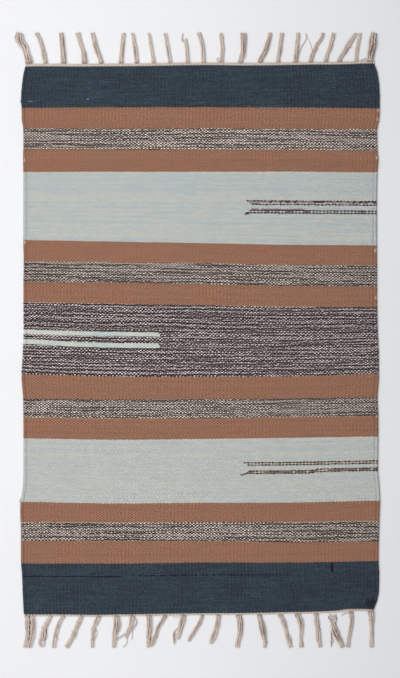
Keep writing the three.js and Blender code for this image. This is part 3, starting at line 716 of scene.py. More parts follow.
class YarnMesh:
    """Collects round yarns into one mesh; attribute yarn = (mm along, which yarn, tone)."""

    def __init__(self, seed):
        self.v, self.q, self.t, self.a, self.c = [], [], [], [], []
        self.n = 0
        self.r = np.random.default_rng(seed)

    # dark is painted shade: it adds to the crease_shade attribute, by which the cream yarn darkens
    def tube(self, path, radius, sides=5, tone=0.5, floor=0.02, dark=0.0):
        p = np.asarray(path, float)
        m = len(p)
        r = np.broadcast_to(np.asarray(radius, float), (m,))
        t = np.gradient(p, axis=0)
        t /= np.maximum(np.linalg.norm(t, axis=1, keepdims=True), 1e-9)
        side = np.cross(t, [0.0, 0.0, 1.0])
        weak = np.linalg.norm(side, axis=1) < 0.15
        side[weak] = np.cross(t[weak], [1.0, 0.0, 0.0])
        side /= np.maximum(np.linalg.norm(side, axis=1, keepdims=True), 1e-9)
        up = np.cross(side, t)
        ang = 2 * math.pi * np.arange(sides) / sides
        ring = p[:, None] + r[:, None, None] * (np.cos(ang)[None, :, None] * side[:, None] + np.sin(ang)[None, :, None] * up[:, None])
        caps = np.stack([p[0] - t[0] * r[0] * 0.5, p[-1] + t[-1] * r[-1] * 0.5])
        v = np.concatenate([ring.reshape(-1, 3), caps])
        v[:, 2] = np.maximum(v[:, 2], floor)
        length = np.concatenate([[0], np.cumsum(np.linalg.norm(np.diff(p, axis=0), axis=1))])
        who = self.r.random()
        a = np.empty((len(v), 3))
        a[:-2, 0] = np.repeat(length, sides)
        a[-2:, 0] = (0, length[-1])
        a[:, 1] = who
        a[:, 2] = np.clip(tone + self.r.normal(0, 0.16), 0, 1)
        dark = np.broadcast_to(np.asarray(dark, float), (m,))
        self.c.append(np.concatenate([np.repeat(dark, sides), dark[[0, -1]]]))
        b = self.n
        k = np.arange(m - 1)[:, None] * sides + np.arange(sides)[None]
        k2 = np.arange(m - 1)[:, None] * sides + (np.arange(sides)[None] + 1) % sides
        self.q.append(np.stack([k, k2, k2 + sides, k + sides], 2).reshape(-1, 4) + b)
        s, s2 = np.arange(sides), (np.arange(sides) + 1) % sides
        c0, c1 = m * sides, m * sides + 1
        self.t.append(np.concatenate([np.stack([np.full(sides, c0), s2, s], 1), np.stack([np.full(sides, c1), (m - 1) * sides + s, (m - 1) * sides + s2], 1)]) + b)
        self.v.append(v)
        self.a.append(a)
        self.n += len(v)

    def plied(self, path, width, pitch=7.0, plies=2, sides=5, tone=0.5, ends=0.75, dark=0.0):
        """A yarn of that width, twisted of two or three plies."""
        p = np.asarray(path, float)
        m = len(p)
        w = np.broadcast_to(np.asarray(width, float), (m,))
        s = np.concatenate([[0], np.cumsum(np.linalg.norm(np.diff(p, axis=0), axis=1))])
        w = w * np.interp(s, [0, 1.5, max(s[-1] - 2.5, 1.6), s[-1]], [0.9, 1, 1, ends])
        t = np.gradient(p, axis=0)
        t /= np.maximum(np.linalg.norm(t, axis=1, keepdims=True), 1e-9)
        side = np.cross(t, [0.0, 0.0, 1.0])
        side /= np.maximum(np.linalg.norm(side, axis=1, keepdims=True), 1e-9)
        up = np.cross(side, t)
        start = self.r.uniform(0, 2 * math.pi)
        tone = tone + self.r.normal(0, 0.10)
        for k in range(plies):
            a = start + 2 * math.pi * (s / pitch + k / plies)
            off = (w * (0.23 if plies == 2 else 0.27))[:, None] * (np.cos(a)[:, None] * side + np.sin(a)[:, None] * up)
            self.tube(p + off, w * (0.29 if plies == 2 else 0.25), sides, tone, dark=dark)

    def hair(self, start, away, length, radius=0.07):
        """One loose fibre."""
        bend = self.r.normal(0, 0.5, 3)
        t = np.linspace(0, 1, 4)[:, None]
        d = np.asarray(away, float)
        p = np.asarray(start, float) + d * length * t + bend * length * 0.6 * t * t
        p[:, 2] = np.maximum(p[:, 2], 0.1)
        self.tube(p, radius * np.array([1, 0.9, 0.7, 0.4]), 3, 0.75)

    def bundle(self, nodes, strands, d=2.9, low=3.4, high=6.2, uneven=2.0, hairs=12):
        """A tassel: nodes are (x, y, width) in layout units from the heading to the tip."""
        c, s = resample(from_grid(nodes), 1.15)
        length = s[-1]
        xy = c[:, :2]
        w = np.maximum(c[:, 2], d)
        t = np.gradient(xy, axis=0)
        t /= np.maximum(np.linalg.norm(t, axis=1, keepdims=True), 1e-9)
        side = np.stack([t[:, 1], -t[:, 0]], 1)
        tall = np.clip(0.56 * w, low, high)
        r = self.r
        for k in range(strands):
            u = k / (strands - 1) * 2 - 1
            across = u + 0.22 * np.sin(s / r.uniform(5, 10) + r.uniform(0, 6.3)) * np.interp(s, [0, 5], [0.3, 1])
            across = np.clip(across, -1, 1) * (w / 2 - d / 2) * np.interp(s, [0, 3.0], [1.15, 1.02]) + 0.18 * np.sin(s / 3.1 + 3 * k)
            up = 0.5 + 0.5 * np.cos(math.pi * k + 1.1 * np.sin(s / r.uniform(6, 12) + r.uniform(0, 6.3)))
            z = d / 2 + (tall - d) * up * (1 - 0.35 * u * u) * np.interp(s, [0, 4], [0.35, 1.0])
            p = np.stack([xy[:, 0] + side[:, 0] * across, xy[:, 1] + side[:, 1] * across, z], 1)
            cut = max(6, len(p) - int(abs(r.normal(0, uneven)) / 1.15))
            p = p[:cut]
            # painted shade at the root, where the strands leave the heading; some whole strands darker at random
            dark = np.interp(s[:cut], [0, 1.2, 3.2], [0.55, 0.45, 0.0]) + (0.30 if r.random() < 0.14 else 0.0)
            knobs = 1 + 0.13 * np.sin(s[:cut] / r.uniform(1.3, 2.2) + r.uniform(0, 6.3)) + 0.07 * np.sin(s[:cut] / 0.8 + r.uniform(0, 6.3))
            self.plied(p, d * r.uniform(0.88, 1.08) * knobs, pitch=r.uniform(6.0, 8.5), tone=0.5 + r.normal(0, 0.24), dark=dark)
            for _ in range(max(1, hairs // strands)):
                j = r.integers(2, len(p))
                out = side[min(j, len(side) - 1)] * r.choice([-1, 1])
                away = np.array([out[0] + r.normal(0, 0.5), out[1] + r.normal(0, 0.5), r.uniform(-0.3, 0.6)])
                self.hair(p[j] + away * 0.8, away, r.uniform(1.2, 4.0))

    def top_at(self, xy, near=1.3):
        """Height of the yarns made so far at places given in mm."""
        v = np.concatenate(self.v)
        return np.array([max([0.4] + list(v[np.hypot(v[:, 0] - x, v[:, 1] - y) < near, 2])) for x, y in xy])

    def painted_slit_shadow(self, nodes, d=1.0, dark=0.75):
        """A dark strand laid in the crease on top of a tassel: painted shadow in the crease."""
        pts = from_grid(np.asarray(nodes, float))
        c, s = resample(pts, 1.1)
        z = self.top_at(c)
        z = np.convolve(np.concatenate([z[:1], z, z[-1:]]), [0.25, 0.5, 0.25], "valid") - 0.15
        self.plied(np.column_stack([c[:, :2], z]), d * np.interp(s, [0, 1.5, s[-1] - 1.5, s[-1]], [0.5, 1, 1, 0.5]), pitch=5.0, tone=0.3, ends=0.6, dark=dark)

    def wrap(self, nodes, at, turns=1.2, d=1.5, low=3.0, high=6.2):
        """A strand wound round a tassel, at mm from its root."""
        c, s = resample(from_grid(nodes), 1.15)
        t = np.gradient(c[:, :2], axis=0)
        t /= np.maximum(np.linalg.norm(t, axis=1, keepdims=True), 1e-9)
        a = np.linspace(-0.3, 2 * math.pi * turns, int(26 * turns))
        q = at + (a / (2 * math.pi)) * d * 0.95
        cx, cy = np.interp(q, s, c[:, 0]), np.interp(q, s, c[:, 1])
        tx, ty = np.interp(q, s, t[:, 0]), np.interp(q, s, t[:, 1])
        w = np.interp(q, s, c[:, 2])
        tall = np.clip(0.56 * w, low, high) * 0.8
        across = np.cos(a) * (w / 2 * 0.95 + d * 0.15)
        z = tall / 2 + np.sin(a) * (tall / 2 + d * 0.15) + 0.3
        p = np.stack([cx + ty * across, cy - tx * across, np.maximum(z, d / 2)], 1)
        # the wound strand carries a little painted shade
        self.plied(p, d, pitch=5.0, tone=0.45, dark=0.25)

    def loose(self, nodes, d=1.3, z=None, tone=0.5, pitch=5.0, ends=0.6, dark=0.0):
        """A single yarn through layout points, lying on the floor or at heights z (mm)."""
        pts = from_grid(np.asarray(nodes, float)[:, :2])
        z = np.full(len(pts), d / 2 + 0.1) if z is None else np.asarray(z, float)
        c, _ = resample(np.column_stack([pts, z]), 1.1)
        self.plied(c, d, pitch=pitch, tone=tone, ends=ends, dark=dark)

    def crease_shades(self):
        """Painted shade for each vertex: how deep it lies among the yarns round it, more so on their right, away from
        the light.
        """
        v = np.concatenate(self.v)
        lo = v[:, :2].min(0) - 6
        cell = 0.7
        i = ((v[:, :2] - lo) / cell).astype(int)
        top = np.zeros(i.max(0) + 16)
        np.maximum.at(top, (i[:, 0], i[:, 1]), v[:, 2])
        for axis in (0, 1):                      # fill between vertices
            top = np.maximum(top, np.maximum(np.roll(top, 1, axis), np.roll(top, -1, axis)) * 0.97)
        mean = top.copy()
        for axis, reach in ((0, 3), (1, 2)):
            mean = sum(np.roll(mean, k, axis) for k in range(-reach, reach + 1)) / (2 * reach + 1)
        here = np.maximum(mean[i[:, 0], i[:, 1]], mean[i[:, 0] - 1, i[:, 1]])
        return np.clip((here - v[:, 2] - 0.2) / 2.6, 0, 1)

    def object(self, name):
        # painted shade: depth among the yarns plus the dark amount given to each yarn
        crease_shade = np.clip(self.crease_shades() + np.concatenate(self.c), 0, 2)
        v = in_frame(np.concatenate(self.v))
        q, t = np.concatenate(self.q), np.concatenate(self.t)
        mesh = bpy.data.meshes.new(name)
        mesh.from_pydata(v.tolist(), [], q.tolist() + t.tolist())
        a = mesh.attributes.new("yarn", "FLOAT_VECTOR", "POINT")
        a.data.foreach_set("vector", np.concatenate(self.a).astype(np.float32).ravel())
        mesh.attributes.new("crease_shade", "FLOAT", "POINT").data.foreach_set("value", crease_shade.astype(np.float32))
        mesh.polygons.foreach_set("use_smooth", [True] * len(mesh.polygons))
        o = bpy.data.objects.new(name, mesh)
        bpy.context.scene.collection.objects.link(o)
        return o


# ================================================================== the fringes
# Tassels from the heading to the tip: (x, y, width) in layout units.
FAR_TASSELS = [
    [(28.9, 63.5, 6.6), (28.4, 60, 7.4), (26.4, 53.5, 6.8), (24.0, 47.1, 7.3), (19.9, 40.8, 8.0), (18.6, 37.6, 8.8), (19.6, 32.9, 6.4)],
    [(45.6, 63.5, 3.2), (44.8, 60, 4.6), (42.9, 50.3, 4.8), (40.0, 40.8, 4.6), (36.2, 32.8, 4.8)],
    [(63.4, 63.5, 4.8), (63.3, 60, 5.4), (62.7, 50.3, 5.4), (61.6, 40.8, 5.3), (60.7, 32.7, 5.5)],
    [(84.3, 63.5, 5.0), (84.2, 60, 5.6), (82.5, 50.3, 4.6), (79.8, 40.8, 4.6), (77.5, 32.8, 5.4)],
    [(101.2, 63.5, 4.2), (100.5, 60, 5.0), (96.5, 50.3, 5.2), (94.2, 40.8, 4.8), (92.3, 32.7, 4.6)],
    [(120.8, 63.5, 4.4), (120.9, 60, 4.7), (121.4, 53.5, 4.6), (122.7, 40.8, 4.3), (123.4, 32.8, 4.4)],
    [(136.6, 63.5, 4.0), (136.3, 60, 4.4), (135.2, 50.3, 4.4), (133.7, 40.8, 3.8), (132.3, 32.8, 3.6)],
    [(153.4, 63.5, 3.4), (153.1, 60, 3.8), (151.6, 50.3, 3.6), (150.0, 40.8, 3.3), (148.5, 32.8, 3.4)],
    [(170.0, 63.5, 3.4), (169.7, 60, 3.8), (168.0, 50.3, 3.8), (166.4, 40.8, 3.8), (164.8, 32.8, 3.8)],
    [(187.2, 63.5, 3.8), (187.1, 60, 4.2), (186.6, 50.3, 3.8), (185.8, 42.0, 3.4), (185.6, 38.4, 2.4)],
    [(203.5, 63.5, 3.8), (203.2, 60, 4.3), (203.0, 52, 4.4), (201.9, 44, 4.6), (200.2, 37.6, 4.6), (198.2, 32.7, 4.8)],
    [(220.5, 62.8, 4.2), (221.3, 59, 4.2), (222.0, 53.5, 4.1), (222.3, 47.1, 4.1), (221.6, 40.8, 4.1), (220.2, 32.8, 4.2)],
    [(239.8, 63.2, 4.0), (240.3, 60, 4.8), (242.3, 53.5, 5.4), (243.2, 44, 5.8), (242.8, 37.6, 5.8), (242.5, 32.8, 6.2)],
    [(259.6, 62.6, 4.4), (260.2, 60, 5.2), (263.9, 53.5, 5.1), (267.2, 44, 5.8), (269.3, 37.6, 4.8), (270.1, 32.7, 4.3)],
    [(277.6, 62.8, 3.8), (277.8, 60, 4.1), (278.7, 53.5, 4.5), (280.3, 44, 4.7), (281.8, 32.8, 4.7)],
    [(295.2, 62.6, 4.4), (295.4, 59, 4.8), (296.7, 47.1, 4.0), (297.8, 37.6, 4.1), (298.4, 32.8, 4.3)],
    [(310.2, 62.6, 3.6), (311.0, 58, 4.2), (314.3, 50.3, 3.9), (317.3, 44, 4.0), (321.4, 37.6, 3.8), (323.2, 32.8, 3.5)],
    [(325.4, 62.2, 3.6), (325.8, 59, 4.0), (328.4, 50.3, 3.8), (331.8, 40.8, 4.3), (333.2, 32.8, 4.4)],
    [(338.8, 62.2, 4.0), (340.2, 58, 4.5), (343.1, 53.5, 4.3), (346.7, 47.1, 4.8), (350.8, 40.8, 4.6), (354.3, 35.6, 3.9), (356.2, 32.9, 3.4)],
    [(355.8, 62.2, 3.2), (356.1, 58, 3.5), (357.3, 47.1, 3.8), (359.4, 37.6, 3.0), (360.2, 32.8, 2.6)],
    [(369.4, 62.0, 5.6), (370.0, 58, 6.4), (371.4, 47.1, 7.8), (372.4, 39.5, 7.4), (374.0, 32.8, 6.6)],
]
NEAR_TASSELS = [
    [(27.1, 615.4, 3.8), (27.2, 619, 4.8), (27.3, 630, 4.7), (26.7, 640, 4.8), (24.9, 647.6, 4.6)],
    [(32.0, 615.4, 4.4), (32.1, 619, 5.2), (32.3, 630, 5.4), (31.4, 638, 5.4), (28.9, 647.6, 4.8)],
    [(50.6, 615.2, 3.0), (49.6, 618, 3.6), (46.5, 623.1, 4.2), (43.9, 629.5, 5.2), (42.9, 636, 6.2), (41.9, 640, 5.6)],
    [(64.0, 615.4, 2.8), (62.8, 617.6, 3.1), (60.8, 620, 3.6), (56.7, 629.5, 4.0), (54.7, 639, 4.0), (53.6, 647.8, 4.0)],
    [(81.4, 615.4, 4.0), (80.2, 618.5, 4.4), (76.9, 626.3, 4.1), (73.7, 634, 4.8), (70.9, 639.5, 4.2), (66.2, 647.4, 4.8)],
    [(99.0, 615.4, 4.0), (97.9, 618.6, 4.5), (94.0, 626.3, 3.9), (92.8, 636, 3.6), (92.0, 647.8, 3.9)],
    [(116.6, 615.6, 4.6), (116.6, 619, 5.6), (116.2, 625, 6.4), (115.0, 632.7, 5.4), (114.1, 642, 4.5), (113.5, 647.6, 4.0)],
    [(132.4, 615.2, 4.0), (131.9, 618, 4.5), (130.4, 625, 4.2), (127.3, 633, 3.6), (125.9, 638, 2.8)],
    [(148.9, 615.0, 4.6), (149.0, 618, 5.3), (148.9, 626, 5.2), (148.7, 632.7, 5.2), (148.3, 640, 4.6), (147.8, 647.4, 3.6)],
    [(165.4, 614.8, 3.8), (164.4, 617, 4.1), (160.8, 623.1, 4.2), (157.1, 629.5, 4.1), (155.3, 636, 3.9), (153.0, 642.3, 3.8), (151.0, 646.3, 3.4)],
    [(183.6, 614.6, 4.2), (183.2, 617, 4.9), (181.4, 623.1, 5.4), (179.6, 629.5, 5.0), (178.6, 636, 3.8), (177.6, 639.5, 3.2)],
    [(202.4, 614.8, 3.2), (201.4, 617, 3.6), (199.2, 623.1, 3.8), (195.4, 629.5, 3.8), (191.2, 636, 3.8), (188.0, 641.4, 2.8)],
    [(218.6, 614.8, 3.8), (218.1, 617, 4.3), (217.4, 623.1, 4.6), (215.8, 629.5, 5.0), (213.4, 636, 5.2), (211.6, 640.5, 4.4), (210.2, 643.4, 3.2)],
    [(238.0, 614.8, 4.6), (238.7, 617, 5.2), (239.7, 623.1, 5.4), (239.8, 629.5, 5.3), (239.0, 636, 5.0), (236.8, 647.4, 4.2)],
    [(258.8, 614.6, 4.4), (259.5, 617, 4.9), (260.5, 623.1, 5.5), (262.2, 629.5, 6.2), (263.5, 636, 5.2), (264.8, 642, 4.2), (264.4, 647.6, 3.4)],
    [(279.4, 614.6, 3.8), (280.6, 616.6, 4.4), (283.5, 623.1, 4.6), (285.6, 629.5, 4.2), (286.9, 636, 3.9), (288.7, 642.3, 4.5), (290.2, 647.4, 4.1)],
    [(296.6, 613.8, 4.8), (298.0, 616, 5.4), (300.2, 622.3, 5.5), (301.1, 628.7, 4.8), (300.6, 638, 3.8), (300.9, 647.4, 4.2)],
    [(316.0, 613.2, 4.0), (316.2, 616, 4.5), (316.5, 621, 4.5), (317.3, 628.7, 4.0), (317.9, 635, 4.9), (319.2, 641, 4.2), (320.1, 647.4, 3.8)],
    [(333.2, 622.4, 4.6), (333.4, 625.5, 5.2), (335.0, 631.9, 6.6), (338.0, 638.3, 6.4), (341.0, 644, 4.8), (342.5, 647.4, 4.0)],
    [(350.8, 611.6, 3.6), (351.4, 615, 3.9), (351.7, 622.3, 3.8), (349.9, 631.9, 3.8), (348.9, 638.3, 3.7), (347.5, 647.4, 4.2)],
    [(371.0, 611.0, 4.6), (371.0, 614, 5.4), (371.2, 619.2, 5.2), (371.6, 628.7, 3.9), (371.4, 638.3, 3.9), (371.2, 647.4, 4.2)],
]


def heading(m, end_line, out, x_from, x_to, lines, stub):
    """The cream warps turned and twisted along the end of the cloth."""
    x = np.arange(x_from, x_to, 1.05)
    for dist, z, d, seed in lines:
        y = end_line(x) + out * (dist + 0.16 * wobble(x, x * 0, 40 + seed, 12, 1))
        zz = z + 0.12 * wobble(x, x * 0, 50 + seed, 9, 1)
        m.plied(np.stack([x, y, zz], 1), d, pitch=6.4 if seed == 1 else -7.1, tone=0.72)
    # warps coming out between the last weft loops
    for i in range(WARPS):
        px = x_from + (x_to - x_from) * (i + 0.5) / WARPS
        y0 = float(end_line(np.array([px]))[0])
        lean = m.r.normal(0, 0.5)
        p = [(px, y0 - out * 1.9, 1.5), (px + lean * 0.3, y0 - out * 0.2, 1.9), (px + lean, y0 + out * stub * 0.5, 1.7), (px + lean * 2, y0 + out * stub, 0.9)]
        m.tube(np.array(p), 0.72, 5, 0.66)


def far_fringe():
    m = YarnMesh(71)
    heading(m, far_end, 1.0, float(left_edge(460)) + 0.4, float(right_edge(460)) - 0.4, ((1.7, 1.35, 2.5, 1), (3.7, 1.25, 2.3, 2)), 2.8)
    for k, nodes in enumerate(FAR_TASSELS):
        wide = max(q[2] for q in nodes)
        m.bundle(nodes, int(np.clip(round(wide * GRID / 2.2), 3, 7)), d=3.0 if wide > 4.2 else 2.7, uneven=0.9)
        m.wrap(nodes, 2.6, turns=1.1 if wide < 7 else 1.6)
    for nodes in (
        [(27.4, 62.6), (28.4, 60.6), (27.0, 58.0)], [(30.6, 61.6), (30.0, 59.0)], [(24.2, 52.0), (22.4, 47.0), (19.8, 42.6)],
        [(64.5, 58.6), (64.5, 52.0), (63.4, 44.0), (62.8, 38.0)], [(82.3, 62.4), (82.5, 59.6)], [(86.6, 62.0), (86.2, 58.6), (84.6, 53.0)],
        [(43.4, 58.0), (42.6, 50.0)], [(98.2, 56.0), (95.8, 47.0), (95.0, 40.0)], [(122.0, 58.0), (122.6, 50.0), (123.6, 42.0)],
        [(135.6, 56.0), (134.4, 46.0)], [(168.4, 55.0), (167.2, 46.0)], [(202.8, 56.0), (202.6, 48.0), (200.8, 40.0)],
        [(243.0, 57.0), (244.6, 48.0), (244.2, 40.0)], [(264.2, 56.0), (268.0, 46.0), (270.0, 38.0)], [(279.4, 56.0), (281.2, 46.0)],
        [(297.4, 54.0), (298.6, 44.0)], [(330.0, 52.0), (332.6, 43.0)], [(344.4, 55.0), (348.4, 47.0)],
        [(371.4, 60.4), (372.6, 52.0), (373.6, 44.0), (372.4, 36.0)], [(374.2, 57.6), (375.2, 48.0), (376.0, 39.0)], [(369.0, 56.0), (369.4, 46.0)],
    ):
        m.painted_slit_shadow(nodes)
    # single yarns that have come away
    m.loose([(84.6, 55), (85.8, 52.6), (87.2, 51.4)], 1.1)
    m.loose([(185.4, 42.5), (183.4, 41.2), (181.9, 38.6), (182.2, 35.6), (182.6, 32.8)], 2.3)
    m.loose([(183.8, 41.6), (182.2, 41.0), (181.4, 39.4), (182.6, 38.4)], 1.3, z=[1, 2.2, 3.2, 2.4])
    m.loose([(222.2, 60.5), (219.0, 61.4), (216.6, 60.2), (217.0, 58.2), (219.4, 57.9), (221.4, 59.2)], 1.4, z=[1, 1, 1.4, 1.6, 1.6, 2.6])
    m.loose([(244.6, 58.6), (246.1, 55.6), (245.4, 50.6), (246.2, 42.4), (246.8, 36.0), (245.8, 32.8)], 1.0)
    m.loose([(298.0, 58.8), (299.2, 53.0), (301.2, 47.4), (304.4, 41.6), (306.0, 38.4), (305.6, 32.8)], 1.9)
    m.loose([(312.0, 50.0), (310.9, 45.2), (308.9, 40.4), (306.4, 35.2), (305.8, 32.8)], 1.1)
    m.loose([(349.8, 46.0), (350.8, 47.6), (352.6, 46.8)], 1.0)
    m.loose([(355.2, 60.6), (357.4, 59.4), (358.6, 60.8)], 1.1)
    m.loose([(359.4, 60.6), (364.6, 58.7), (369.0, 58.1), (372.6, 59.4), (374.0, 62.8)], 1.9, z=[1.2, 1.6, 3.4, 2.6, 1.2])
    return m.object("far_fringe")


def near_fringe():
    m = YarnMesh(72)
    heading(m, near_end, -1.0, float(left_edge(-460)) + 0.4, float(right_edge(-456)) + 1.2, ((1.2, 1.25, 2.0, 1), (2.6, 1.10, 1.7, 2)), 1.5)
    for k, nodes in enumerate(NEAR_TASSELS):
        wide = max(q[2] for q in nodes)
        m.bundle(nodes, int(np.clip(round(wide * GRID / 2.2), 3, 7)), d=3.0 if wide > 4.2 else 2.7, uneven=0.9)
        if k not in (1, 18):
            m.wrap(nodes, 2.2, turns=1.1)
    for nodes in (
        [(58.9, 625.6), (58.0, 629.8)], [(57.0, 633.6), (56.4, 638.0)], [(33.6, 618.0), (34.4, 624.0), (34.0, 631.0)], [(25.6, 620.0), (25.8, 630.0)],
        [(71.4, 630.6), (73.2, 633.4)], [(74.6, 633.6), (75.0, 637.6)], [(93.6, 632.0), (92.9, 636.4), (93.4, 641.8)],
        [(117.6, 622.0), (117.4, 628.0), (116.0, 634.0)], [(149.8, 620.0), (150.0, 628.0)], [(150.6, 635.6), (150.2, 641.4)], [(160.0, 622.0), (158.2, 629.0)],
        [(174.6, 632.4), (174.2, 637.0), (174.7, 641.8)], [(181.4, 619.0), (180.8, 626.0)], [(199.4, 621.0), (196.4, 628.0)],
        [(212.2, 633.6), (212.5, 639.4)], [(217.8, 620.0), (216.8, 628.0)], [(240.9, 616.6), (241.7, 624.0), (241.3, 632.0), (240.2, 637.0)],
        [(261.0, 627.6), (261.8, 631.6), (262.4, 636.6)], [(262.6, 620.0), (264.2, 628.0), (265.0, 635.0)], [(284.4, 622.0), (286.4, 629.0)],
        [(286.6, 633.4), (287.6, 637.0), (288.6, 641.0)], [(301.4, 619.0), (302.2, 628.0)], [(315.8, 637.4), (317.0, 640.2), (317.1, 643.0)],
        [(337.0, 634.0), (339.8, 641.0)], [(351.9, 618.0), (350.8, 628.0)], [(371.8, 616.6), (372.3, 626.0), (371.9, 637.0)],
    ):
        m.painted_slit_shadow(nodes)
    # thicker crease strands with deeper painted shadow
    for nodes in ([(29.0, 616.4), (29.6, 618.6)], [(29.8, 620.4), (29.6, 624.6)], [(29.3, 625.6), (29.7, 629.6)], [(30.0, 631.0), (29.6, 635.4)], [(29.3, 636.6), (29.0, 641.0)],
                  [(150.3, 637.6), (150.1, 640.6)], [(328.8, 616.6), (328.6, 619.4)], [(336.6, 617.4), (336.4, 620.4)], [(332.8, 619.0), (332.6, 621.0)]):
        m.painted_slit_shadow(nodes, d=1.7, dark=1.5)
    for k, at, turns in ((2, 9, 0.8), (2, 16, 0.7), (2, 24, 1.0), (4, 13, 0.9), (4, 20, 0.8), (5, 12, 0.8), (5, 27, 0.9), (8, 20, 0.8), (10, 8, 0.7), (15, 14, 0.7), (17, 14, 0.9), (17, 20, 0.8), (17, 26, 0.8), (19, 9, 0.7), (20, 15, 0.7)):
        m.wrap(NEAR_TASSELS[k], at, turns=turns, d=1.8)
    # the open loop at the end of the second tassel
    m.loose([(42.4, 636.0), (40.4, 638.6), (39.1, 641.8), (39.6, 645.2), (41.3, 646.6), (43.2, 645.4), (43.8, 642.0), (43.2, 638.6), (42.4, 635.8)], 3.5)
    m.loose([(41.6, 638.6), (41.4, 642.0), (41.5, 645.6)], 1.3, tone=0.9)
    m.loose([(45.4, 626), (46.2, 630), (45.8, 636), (44.8, 641)], 1.9, dark=0.55)
    m.loose([(56.6, 638.6), (58.6, 640.2), (60.6, 639.4)], 1.0)
    m.loose([(75.2, 633.0), (76.3, 634.6), (75.0, 635.8), (73.6, 635.4)], 1.3, z=[2.6, 2, 1, 1.6])
    m.loose([(94.4, 628.4), (96.2, 630.2), (96.9, 633.0), (96.0, 637.0), (94.0, 640.2), (93.0, 642.4)], 1.4)
    m.loose([(114.0, 624.4), (115.4, 621.4), (118.2, 620.6), (120.0, 623.2), (119.2, 628.0), (117.6, 633.5)], 1.8, z=[3.2, 4.0, 4.0, 3.2, 2.4, 1.8])
    # the seventh tassel: a loop beside its root, one arm to the left, one down
    m.loose([(133.2, 617.6), (135.8, 620.0), (136.4, 622.8), (134.2, 626.6), (131.0, 629.6), (126.6, 633.2), (121.6, 636.2), (117.6, 639.4), (116.6, 640.6)], 2.3, z=[2.4, 2.0, 1.6, 1.8, 3.8, 3.0, 1.4, 1.2, 1.2])
    m.loose([(126.4, 636.6), (126.9, 640.2), (126.0, 644.0), (122.7, 647.6)], 1.8)
    m.loose([(131.2, 624), (132.0, 630), (132.1, 635), (131.4, 639.8)], 1.5)
    m.loose([(151.4, 626), (151.6, 630), (150.6, 634), (150.4, 640.2)], 1.5, z=[3.2, 2.2, 1.6, 1.6])
    m.loose([(157.6, 631), (157.4, 635), (157.0, 639)], 1.3)
    m.loose([(172.6, 616.6), (174.6, 617.6), (177.0, 617.2), (179.0, 616.2)], 1.3)
    m.loose([(178.2, 628.0), (174.2, 631.4), (173.2, 634.0), (173.4, 640.0), (174.0, 644.8)], 2.3)
    m.loose([(175.6, 633.0), (175.2, 639.0), (175.6, 643.6)], 1.6)
    m.loose([(183.4, 622), (182.6, 629), (182.0, 633)], 1.2)
    m.loose([(241.4, 617.4), (242.6, 622.6), (242.2, 631.0)], 1.4)
    m.loose([(265.6, 640.4), (267.4, 642.2), (268.0, 643.8)], 1.2)
    m.loose([(288.6, 634.4), (291.2, 638.2), (291.8, 643.0)], 1.4)
    m.loose([(302.4, 641), (303.2, 644.4), (303.6, 647.4)], 1.6)
    m.loose([(319.0, 625.6), (320.6, 629.4), (321.4, 631.0)], 1.2)
    m.loose([(318.6, 629.6), (319.6, 634.6), (318.6, 638.4)], 1.8, z=[3, 2.6, 1.2])
    # the knotted loop of the eighteenth
    m.loose([(330.0, 614.2), (329.4, 617.0), (329.8, 620.6), (331.4, 622.9), (333.8, 623.0), (335.6, 621.0), (335.4, 617.8), (333.6, 615.9), (331.2, 616.6), (330.2, 619.2)], 2.3, z=[1.6, 2.0, 2.4, 2.4, 2.4, 2.2, 2.4, 3.2, 3.6, 3.2])
    m.loose([(335.8, 614.0), (334.8, 616.4), (333.2, 619.6), (334.0, 623.4), (335.2, 627.4)], 2.0, z=[1.6, 2.4, 4.0, 3.4, 2.6])
    m.loose([(333.4, 624.0), (331.6, 631.0), (331.2, 638.0), (331.2, 647.2)], 1.9, dark=0.5)
    m.loose([(331.8, 637.0), (333.0, 641.2), (331.8, 644.4)], 1.4)
    m.loose([(341.6, 615.6), (343.8, 613.9), (347.2, 613.2), (350.4, 614.0), (351.6, 617.8)], 1.7, z=[1, 1.2, 1.6, 2.8, 3.0])
    m.loose([(367.6, 612.4), (368.9, 616.0), (370.2, 620.0)], 1.9)
    return m.object("near_fringe")


# ================================================================ loose ends
def yarn_ends():
    """Weft tails and a tuft, where a new yarn was laid in."""
    made = []
    for name, colour, width, nodes, z in (
        ("weft_tail_blue", (50, 60, 68), 1.9, [(21.8, 100.2), (20.9, 100.6), (20.5, 101.4), (21.0, 102.2), (22.0, 102.0)], [2.4, 2.2, 2.0, 2.6, 3.0]),
        ("weft_tail_brown", (158, 120, 96), 1.2, [(20.9, 498.6), (20.0, 500.2), (19.9, 502.2), (20.7, 503.6)], [1.6, 1.4, 1.2, 1.6]),
        ("weft_tuft_tan", (176, 122, 92), 1.1, [(248.4, 107.0), (248.9, 106.2), (249.4, 105.8)], [3.0, 3.7, 3.4]),
    ):
        m = YarnMesh(len(nodes) + len(name))
        m.loose(nodes, width, z=z, tone=0.5)
        for _ in range(10):
            p = from_grid([nodes[int(m.r.integers(0, len(nodes)))]])[0]
            m.hair((p[0], p[1], z[1]), m.r.normal(0, 1, 3) * (1, 1, 0.5), 1.6)
        o = m.object(name)
        t = Nodes(name)
        geo = t.t.nodes.new("ShaderNodeTexCoord").outputs["Object"]
        n1, n2 = t.noise(geo, 420.0, 2.0), t.noise(geo, 2100.0, 2.0)
        c = t.shade(srgb(*colour), t.ramp(n1, 0.25, 0.75, 0.82, 1.18, smooth=False))
        o.data.materials.append(t.finish(c, t.ramp(n2, 0.2, 0.8, 0.86, 0.98), t.mul(n2, 0.00012), sheen=0.15))
        made.append(o)
    return made


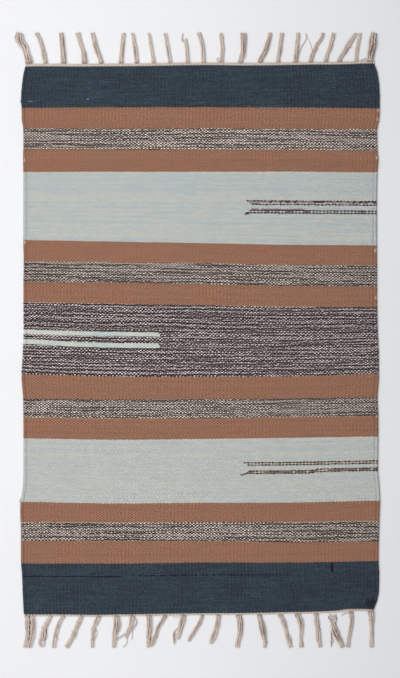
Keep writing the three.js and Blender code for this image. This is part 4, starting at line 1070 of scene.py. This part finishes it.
cloth = build_cloth()
cloth.data.materials.append(weave_material())
cream = yarn_material()
fringe_far, fringe_near = far_fringe(), near_fringe()
for o in (fringe_far, fringe_near):
    o.data.materials.append(cream)
ends = yarn_ends()

for o, node, slot in [(cloth, "woven_body", "striped_weave"), (fringe_far, "fringe_far", "cream_yarn"), (fringe_near, "fringe_near", "cream_yarn")] + [(e, "woven_body", "striped_weave") for e in ends]:
    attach(o, ROOT)
    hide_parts(node)

# ============================================================== floor and light
bpy.ops.mesh.primitive_plane_add(size=14, location=(0, 0, -0.0004))
floor = bpy.context.object
floor.name = "floor"
t = Nodes("pale_floor")
geo = t.t.nodes.new("ShaderNodeTexCoord").outputs["Object"]
n = t.noise(geo, 6.0, 3.0)
floor.data.materials.append(t.finish(t.blend(n, srgb(238, 238, 240), srgb(242, 242, 244)), 0.9, t.mul(n, 0.0), sheen=0.0))

KEY, STRIP, FILL = 50.0, 7.5, 0.36
world = bpy.data.worlds.new("studio")
bpy.context.scene.world = world
world.use_nodes = True
world.node_tree.nodes["Background"].inputs[0].default_value = (0.96, 0.98, 1.0, 1)
world.node_tree.nodes["Background"].inputs[1].default_value = FILL


def area_light(name, at, aim, size, watts, colour=(1, 1, 1)):
    from mathutils import Vector
    l = bpy.data.lights.new(name, "AREA")
    l.shape = "DISK"
    l.size = size
    l.energy = watts
    l.color = colour
    o = bpy.data.objects.new(name, l)
    o.location = at
    o.rotation_euler = (Vector(aim) - Vector(at)).to_track_quat("-Z", "Y").to_euler()
    bpy.context.scene.collection.objects.link(o)
    return o


area_light("key", (-2.3, 0.4, 2.5), (-0.1, 0.0, 0.0), 0.9, KEY)
strip = area_light("strip", (-0.19, 0.05, 1.05), (-0.19, 0.05, 0.0), 0.3, STRIP)
strip.data.shape = "RECTANGLE"
strip.data.size_y = 3.0
strip.visible_camera = False

cam = bpy.data.cameras.new("camera")
cam.lens = 85
cam.sensor_width = 36
camera = bpy.data.objects.new("camera", cam)
camera.location = (0.00376, 0.00092, 0.003 + 85 / 36 * 1.1363)
bpy.context.scene.collection.objects.link(camera)
bpy.context.scene.camera = camera
bpy.context.scene.view_settings.view_transform = "Standard"
